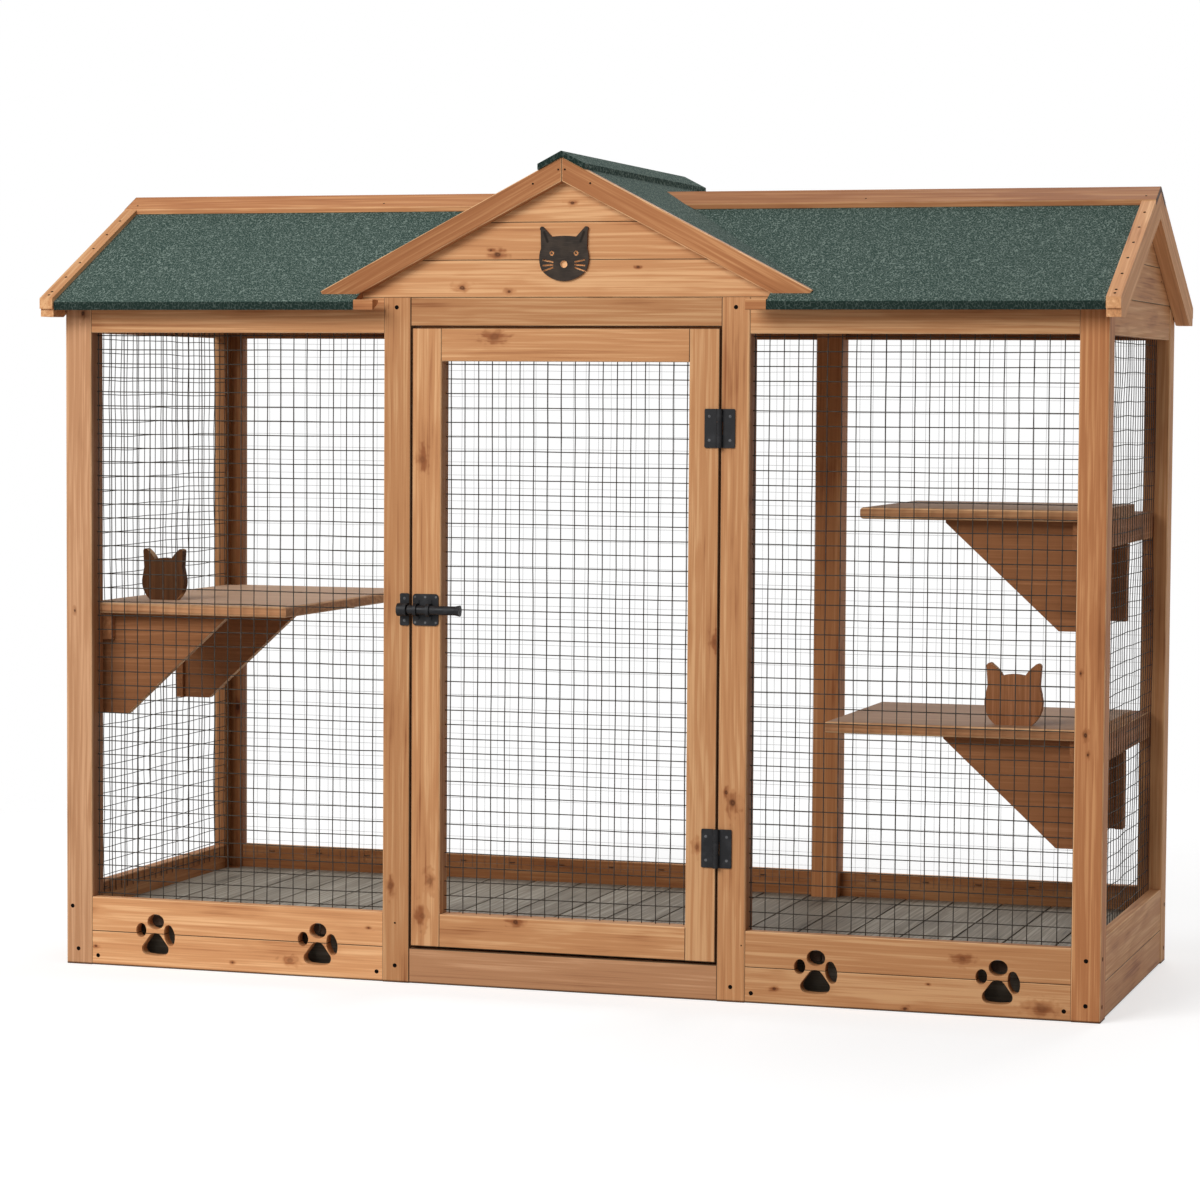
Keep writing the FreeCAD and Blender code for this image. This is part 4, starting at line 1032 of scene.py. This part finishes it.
smooth = place(mesh_tree, "GeometryNodeSetShadeSmooth", {0: tubes[0]})
spin = join_parts(mesh_tree, {2: given["Turn"]})
sockets = {"Geometry": smooth[0], "Translation": given["Corner"], "Rotation": spin}
set_up = place(mesh_tree, "GeometryNodeTransform", sockets)
finish_shape(mesh_tree, set_up[0], given, result)


def run_tree(name, tree, values, points=None):
    """Runs a tree on an object, keeps the result as a plain mesh and returns the object."""
    piece = bpy.data.objects.new(name, points or bpy.data.meshes.new(name))
    scene.collection.objects.link(piece)
    modifier = piece.modifiers.new("shape", "NODES")
    modifier.node_group = tree
    for item in tree.interface.items_tree:
        if item.in_out == "INPUT" and item.name in values:
            modifier[item.identifier] = values[item.name]
    shaped = piece.evaluated_get(bpy.context.evaluated_depsgraph_get())
    plain = bpy.data.meshes.new_from_object(shaped)
    piece.modifiers.clear()
    piece.data = plain
    plain.name = name
    return piece


print("tree:", mesh_tree.name)

# %% [markdown]
# Seven panels. Each takes the place of a coarse net in the model, so it reads that net's box. The
# wires run a millimetre further at each end, into the timber, as real ones go into a groove. The back
# wall shows much fainter in the picture than the front, so it gets a finer and brighter wire. The nets
# of the ends are a little finer too, and more bent.

# %% Wire panels
mesh_pitch = 0.0254
wire_bite = 0.001
front_wire = (0.0019, wire)
end_wire = (0.0015, wire)
back_wire = (0.0005, bright_wire)
flat_waves = 0.003
end_waves = 0.008
seed_stride = 3.7
panels = {
    "front_left_mesh": "frame", "front_right_mesh": "frame", "left_side_mesh": "frame",
    "right_side_mesh": "frame", "rear_left_mesh": "frame", "rear_right_mesh": "frame", "door_mesh": "door",
}


def long_axis(node):
    """The axis along a net: 0 for X, 1 for Y."""
    low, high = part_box(node)
    return 1 if high.y - low.y > high.x - low.x else 0


wire_triangles = 0
for index, (node, body) in enumerate(panels.items()):
    low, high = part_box(node)
    span = high - low
    along = long_axis(node)
    corner = (low + high) / 2
    corner.z = low.z - wire_bite
    corner[along] = low[along] - wire_bite
    thickness, finish = end_wire if along else front_wire
    if node.startswith("rear"):
        thickness, finish = back_wire
    values = {
        "Corner": tuple(corner), "Turn": along * math.pi / 2, "Width": span[along] + 2 * wire_bite,
        "Height": span.z + 2 * wire_bite, "Pitch": mesh_pitch, "Wire": thickness, "Material": finish,
        "Waviness": end_waves if along else flat_waves, "Seed": seed_stride * index,
    }
    panel = run_tree(node.replace("_mesh", "_wires"), mesh_tree, values)
    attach(panel, body)
    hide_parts(node)
    wire_triangles += sum(len(face.vertices) - 2 for face in panel.data.polygons)
print("wire panels:", len(panels), "triangles:", wire_triangles)

# %% [markdown]
# Screws, nails and staples. They are small, dark and many, and they tell how the frame is held
# together. One tree copies a head to each point of a cloud: every point carries the way it faces, its
# size and its turn, so no two screws have their slots alike. The heads themselves are a few faces each.

# %% Geometry Nodes: fasteners
head_inputs = {"Geometry": "Geometry", "Object": "Head", "Material": "Material"}
head_tree, given, result = new_group("Fasteners", head_inputs, shape_output, "GeometryNodeTree")


def point_value(name, kind):
    return place(head_tree, "GeometryNodeInputNamedAttribute", {"Name": name}, data_type=kind)[0]


sockets = {"Vector": point_value("facing", "FLOAT_VECTOR")}
faced = place(head_tree, "FunctionNodeAlignRotationToVector", sockets, axis="Z")[0]
own_turn = join_parts(head_tree, {2: point_value("turn", "FLOAT")})
own_turn = place(head_tree, "FunctionNodeEulerToRotation", {0: own_turn})[0]
sockets = {0: faced, 1: own_turn}
turned = place(head_tree, "FunctionNodeRotateRotation", sockets, rotation_space="LOCAL")[0]
head = place(head_tree, "GeometryNodeObjectInfo", {"Object": given["Head"]})["Geometry"]
sockets = {"Points": given["Geometry"], "Instance": head, "Rotation": turned}
sockets["Scale"] = point_value("size", "FLOAT")
copies = place(head_tree, "GeometryNodeInstanceOnPoints", sockets)
finish_shape(head_tree, copies[0], given, result)
print("tree:", head_tree.name)

# %% [markdown]
# The three heads, drawn at a radius of one so that a point's size is its radius in metres. A screw is a
# flat countersunk head with a cross-shaped recess: the twelve corners of the cross pair up with twelve
# points of the rim, which gives clean four-sided faces. A nail is a low dome, a staple a bent bar.


# %% Fastener heads
def bridge(work, ring, next_ring):
    """Faces between two closed rings with as many points."""
    for step in range(len(ring)):
        after = (step + 1) % len(ring)
        work.faces.new((ring[step], ring[after], next_ring[after], next_ring[step]))


def round_ring(work, radius, height, sides, first_turn=0.0):
    ring = []
    for step in range(sides):
        turn = first_turn + 2 * math.pi * step / sides
        ring.append(work.verts.new((radius * math.cos(turn), radius * math.sin(turn), height)))
    return ring


def keep_head(name, work):
    """Makes a head an object of the scene, with its faces turned outwards."""
    bmesh.ops.recalc_face_normals(work, faces=work.faces[:])
    shape = bpy.data.meshes.new(name)
    work.to_mesh(shape)
    work.free()
    head = bpy.data.objects.new(name, shape)
    scene.collection.objects.link(head)
    return head


def screw_head():
    work = bmesh.new()
    arm = 0.62
    half = 0.17
    quarter = [(arm, half), (half, half), (half, arm)]
    cross = []
    for step in range(4):
        turn = Matrix.Rotation(step * math.pi / 2, 2)
        cross += [turn @ Vector(corner) for corner in quarter]
    foot = round_ring(work, 0.95, -0.20, 12, math.radians(15))
    rim = round_ring(work, 1.0, 0.08, 12, math.radians(15))
    mouth = [work.verts.new((corner.x, corner.y, 0.14)) for corner in cross]
    floor = [work.verts.new((0.8 * corner.x, 0.8 * corner.y, 0.02)) for corner in cross]
    for ring, next_ring in ((foot, rim), (rim, mouth), (mouth, floor)):
        bridge(work, ring, next_ring)
    work.faces.new((floor[1], floor[4], floor[7], floor[10]))
    for step in (0, 3, 6, 9):
        work.faces.new((floor[step - 2], floor[step - 1], floor[step], floor[step + 1]))
    work.faces.new(foot[::-1])
    return keep_head("screw_head", work)


def nail_head():
    work = bmesh.new()
    foot = round_ring(work, 1.0, -0.25, 10)
    rim = round_ring(work, 0.95, 0.08, 10)
    crown = round_ring(work, 0.55, 0.2, 10)
    bridge(work, foot, rim)
    bridge(work, rim, crown)
    work.faces.new(crown)
    work.faces.new(foot[::-1])
    return keep_head("nail_head", work)


def staple():
    """A bar bent square at both ends: its crown lies over the wire, its legs go into the wood."""
    work = bmesh.new()
    bar = 0.1
    crown = 0.5
    leg = -0.4
    outline = [(-1, leg), (-1, crown), (1, crown), (1, leg)]
    inset = [(-1 + 2 * bar, leg), (-1 + 2 * bar, crown - 2 * bar)]
    inset += [(1 - 2 * bar, crown - 2 * bar), (1 - 2 * bar, leg)]
    rings = []
    for (out_x, out_z), (in_x, in_z) in zip(outline, inset):
        corners = [(out_x, -bar, out_z), (out_x, bar, out_z), (in_x, bar, in_z), (in_x, -bar, in_z)]
        rings.append([work.verts.new(corner) for corner in corners])
    for ring, next_ring in zip(rings, rings[1:]):
        bridge(work, ring, next_ring)
    work.faces.new(rings[0][::-1])
    work.faces.new(rings[-1])
    return keep_head("staple", work)


heads = {"screw": screw_head(), "nail": nail_head(), "staple": staple()}
print("faces:", {name: len(head.data.polygons) for name, head in heads.items()})

# %% [markdown]
# Where they go. The front screws follow the picture: two low on each corner post, one low and one high
# on the middle posts, one near each end of the lower planks. The posts of the ends and the back have
# two low and one high. A place is given on a piece's box, as seen from one side. A ray from that side
# finds the point on the face and the way the face looks, so a head sits flush on slopes and uprights.

# %% Screws
screw_radius = 0.0038
small_screw_radius = 0.0025
far = 3.0
views = {
    "front": (Vector((0, -far, 0)), x_axis, z_axis), "back": (Vector((0, far, 0)), x_axis, z_axis),
    "left": (Vector((-far, 0, 0)), y_axis, z_axis), "right": (Vector((far, 0, 0)), y_axis, z_axis),
    "top": (Vector((0, 0, far)), x_axis, y_axis),
}


def aim(view, node, across, up, radius):
    """The point and facing of a head, from a place that is measured from the low corner of a box."""
    origin, right, upward = views[view]
    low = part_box(node)[0]
    start = origin + right * (low.dot(right) + across) + upward * (low.dot(upward) + up)
    found, spot, facing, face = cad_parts[node].ray_cast(start, -origin.normalized())
    if not found:
        raise ValueError("no face at %s %s %s" % (node, across, up))
    return spot, facing, radius


front_screws = [
    ("front_left_post", 0.0115, 0.106), ("front_left_post", 0.023, 0.028),
    ("front_mid_left_post", 0.0235, 1.195), ("front_mid_left_post", 0.0235, 0.030),
    ("front_mid_right_post", 0.025, 1.195), ("front_mid_right_post", 0.025, 0.026),
    ("front_right_post", 0.025, 0.104), ("front_right_post", 0.025, 0.028),
    ("front_left_plinth", 0.0115, 0.017), ("front_left_plinth", 0.5545, 0.017),
    ("front_right_plinth", 0.0115, 0.017), ("front_right_plinth", 0.5545, 0.017),
]
screws = [aim("front", *where_at, screw_radius) for where_at in front_screws]
other_screws = [
    ("right", "front_right_post", 0.017), ("right", "rear_right_post", 0.033),
    ("left", "front_left_post", 0.017), ("left", "rear_left_post", 0.033),
    ("back", "rear_left_post", 0.025), ("back", "rear_mid_post", 0.025), ("back", "rear_right_post", 0.025),
]
for up in (0.025, 0.106, 1.190):
    screws += [aim(*where_at, up, screw_radius) for where_at in other_screws]

iron_screws = [aim("front", "latch_keeper", 0.0085, up, small_screw_radius) for up in (0.009, 0.048)]
hinge_low, hinge_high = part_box("post_hinge_leaves")
hinge_height = 0.067
door_screws = []
for foot in (0.0, hinge_high.z - hinge_low.z - hinge_height):
    for up in (0.013, 0.054):
        iron_screws.append(aim("front", "post_hinge_leaves", 0.024, foot + up, small_screw_radius))
        door_screws.append(aim("front", "door_hinge_leaves", 0.0085, foot + up, small_screw_radius))
for across in (0.0045, 0.0235, 0.0435):
    for up in (0.0055, 0.0505):
        door_screws.append(aim("front", "latch_plate", across, up, 0.8 * small_screw_radius))
print("screws:", len(screws) + len(iron_screws) + len(door_screws))

# %% [markdown]
# Nails hold the roof's trim: a row down each verge, a few along the ridge and the barge boards, two
# pairs in each end gable, and two small ones low on the door's posts.

# %% Nails
nail_radius = 0.0019
verge_nail_radius = 1.4 * nail_radius
nails = [
    aim("front", "front_mid_left_post", 0.0235, 0.106, nail_radius),
    aim("front", "front_mid_right_post", 0.044, 0.099, 0.7 * nail_radius),
]
barge_low, barge_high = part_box("gable_barge_boards")
for out, drop in ((0.006, 0.022), (0.052, 0.046)):
    for side in (-1, 1):
        for view in ("front", "back"):
            where_at = (barge_high.x + side * out, barge_high.z - barge_low.z - drop)
            nails.append(aim(view, "gable_barge_boards", *where_at, nail_radius))
verge_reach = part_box("right_verge_boards")[1].y
for node in pair("{}_verge_boards"):
    for down in (0.014, 0.028, 0.092, 0.156, 0.220, 0.284, 0.348):
        step = down * math.cos(roof_pitch)
        for along in (step, 2 * verge_reach - step):
            nails.append(aim("top", node, 0.0125, along, verge_nail_radius))
ridge_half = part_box("main_ridge_boards")[1]
for out in (-0.955, -0.457, 0.457, 0.955):
    for along in (0.016, 2 * ridge_half.y - 0.016):
        nails.append(aim("top", "main_ridge_boards", ridge_half.x + out, along, nail_radius))
for view in ("left", "right"):
    for along in (0.120, 0.500):
        for up in (0.041, 0.056):
            nails.append(aim(view, view + "_gable_boards", along, up, nail_radius))
print("nails:", len(nails))

# %% [markdown]
# Staples hold each net of the frame to the inner faces of its rails, a row along the top and one along
# the bottom, on every fourth wire; the door's net has none. The net's own box says where its laps are;
# the wood lies on its outer side.

# %% Staples
staple_half = 0.0055
lap_middle = 0.011
first_staple = 2.5
wires_between = 4
staples = []
for node, body in panels.items():
    if body == "door":
        continue
    low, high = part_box(node)
    along = long_axis(node)
    through = 1 - along
    outside = low[through] if low[through] + high[through] < 0 else high[through]
    inward = Vector((0, 0, 0))
    inward[through] = -math.copysign(1.0, outside)
    count = int((high[along] - low[along]) / (wires_between * mesh_pitch))
    for step in range(count):
        for level in (low.z + lap_middle, high.z - lap_middle):
            spot = Vector((0, 0, level))
            spot[through] = outside
            spot[along] = low[along] + (wires_between * step + first_staple) * mesh_pitch
            staples.append((spot, inward, staple_half))
print("staples:", len(staples))

# %% [markdown]
# Points into pieces. A cloud of points carries facing, size and turn as named attributes, and the tree
# reads them back by name. Each kind of head becomes one plain mesh per moving part, so the door's own
# screws swing with the door. The heads that were copied are then removed.


# %% Make the fasteners
def cloud(name, places, turn_step):
    """A mesh of loose points that carry facing, size and turn; a step of 0 sets level staples."""
    points = bpy.data.meshes.new(name)
    points.from_pydata([spot for spot, facing, radius in places], [], [])
    for label, kind in (("facing", "FLOAT_VECTOR"), ("size", "FLOAT"), ("turn", "FLOAT")):
        points.attributes.new(label, kind, "POINT")
    carried = points.attributes
    for index, (spot, facing, radius) in enumerate(places):
        level = math.pi / 2 if abs(facing.x) > 0.5 else 0.0
        carried["facing"].data[index].vector = facing
        carried["size"].data[index].value = radius
        carried["turn"].data[index].value = turn_step * index if turn_step else level
    return points


golden_turn = 2.4
fastener_rows = [
    ("frame_screws", "frame", "screw", screws, golden_turn, dark_iron, "black_iron"),
    ("ironwork_screws", "frame", "screw", iron_screws, golden_turn, worn_iron, "black_iron"),
    ("door_screws", "door", "screw", door_screws, golden_turn, worn_iron, "black_iron"),
    ("frame_nails", "frame", "nail", nails, golden_turn, dark_iron, "black_iron"),
    ("frame_staples", "frame", "staple", staples, 0.0, wire, "wire"),
]
for name, body, kind, places, turn_step, finish, slot in fastener_rows:
    values = {"Head": heads[kind], "Material": finish}
    piece = run_tree(name, head_tree, values, cloud(name, places, turn_step))
    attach(piece, body)
    print(name, len(places), "heads,", len(piece.data.polygons), "faces")
for head in heads.values():
    bpy.data.objects.remove(head)
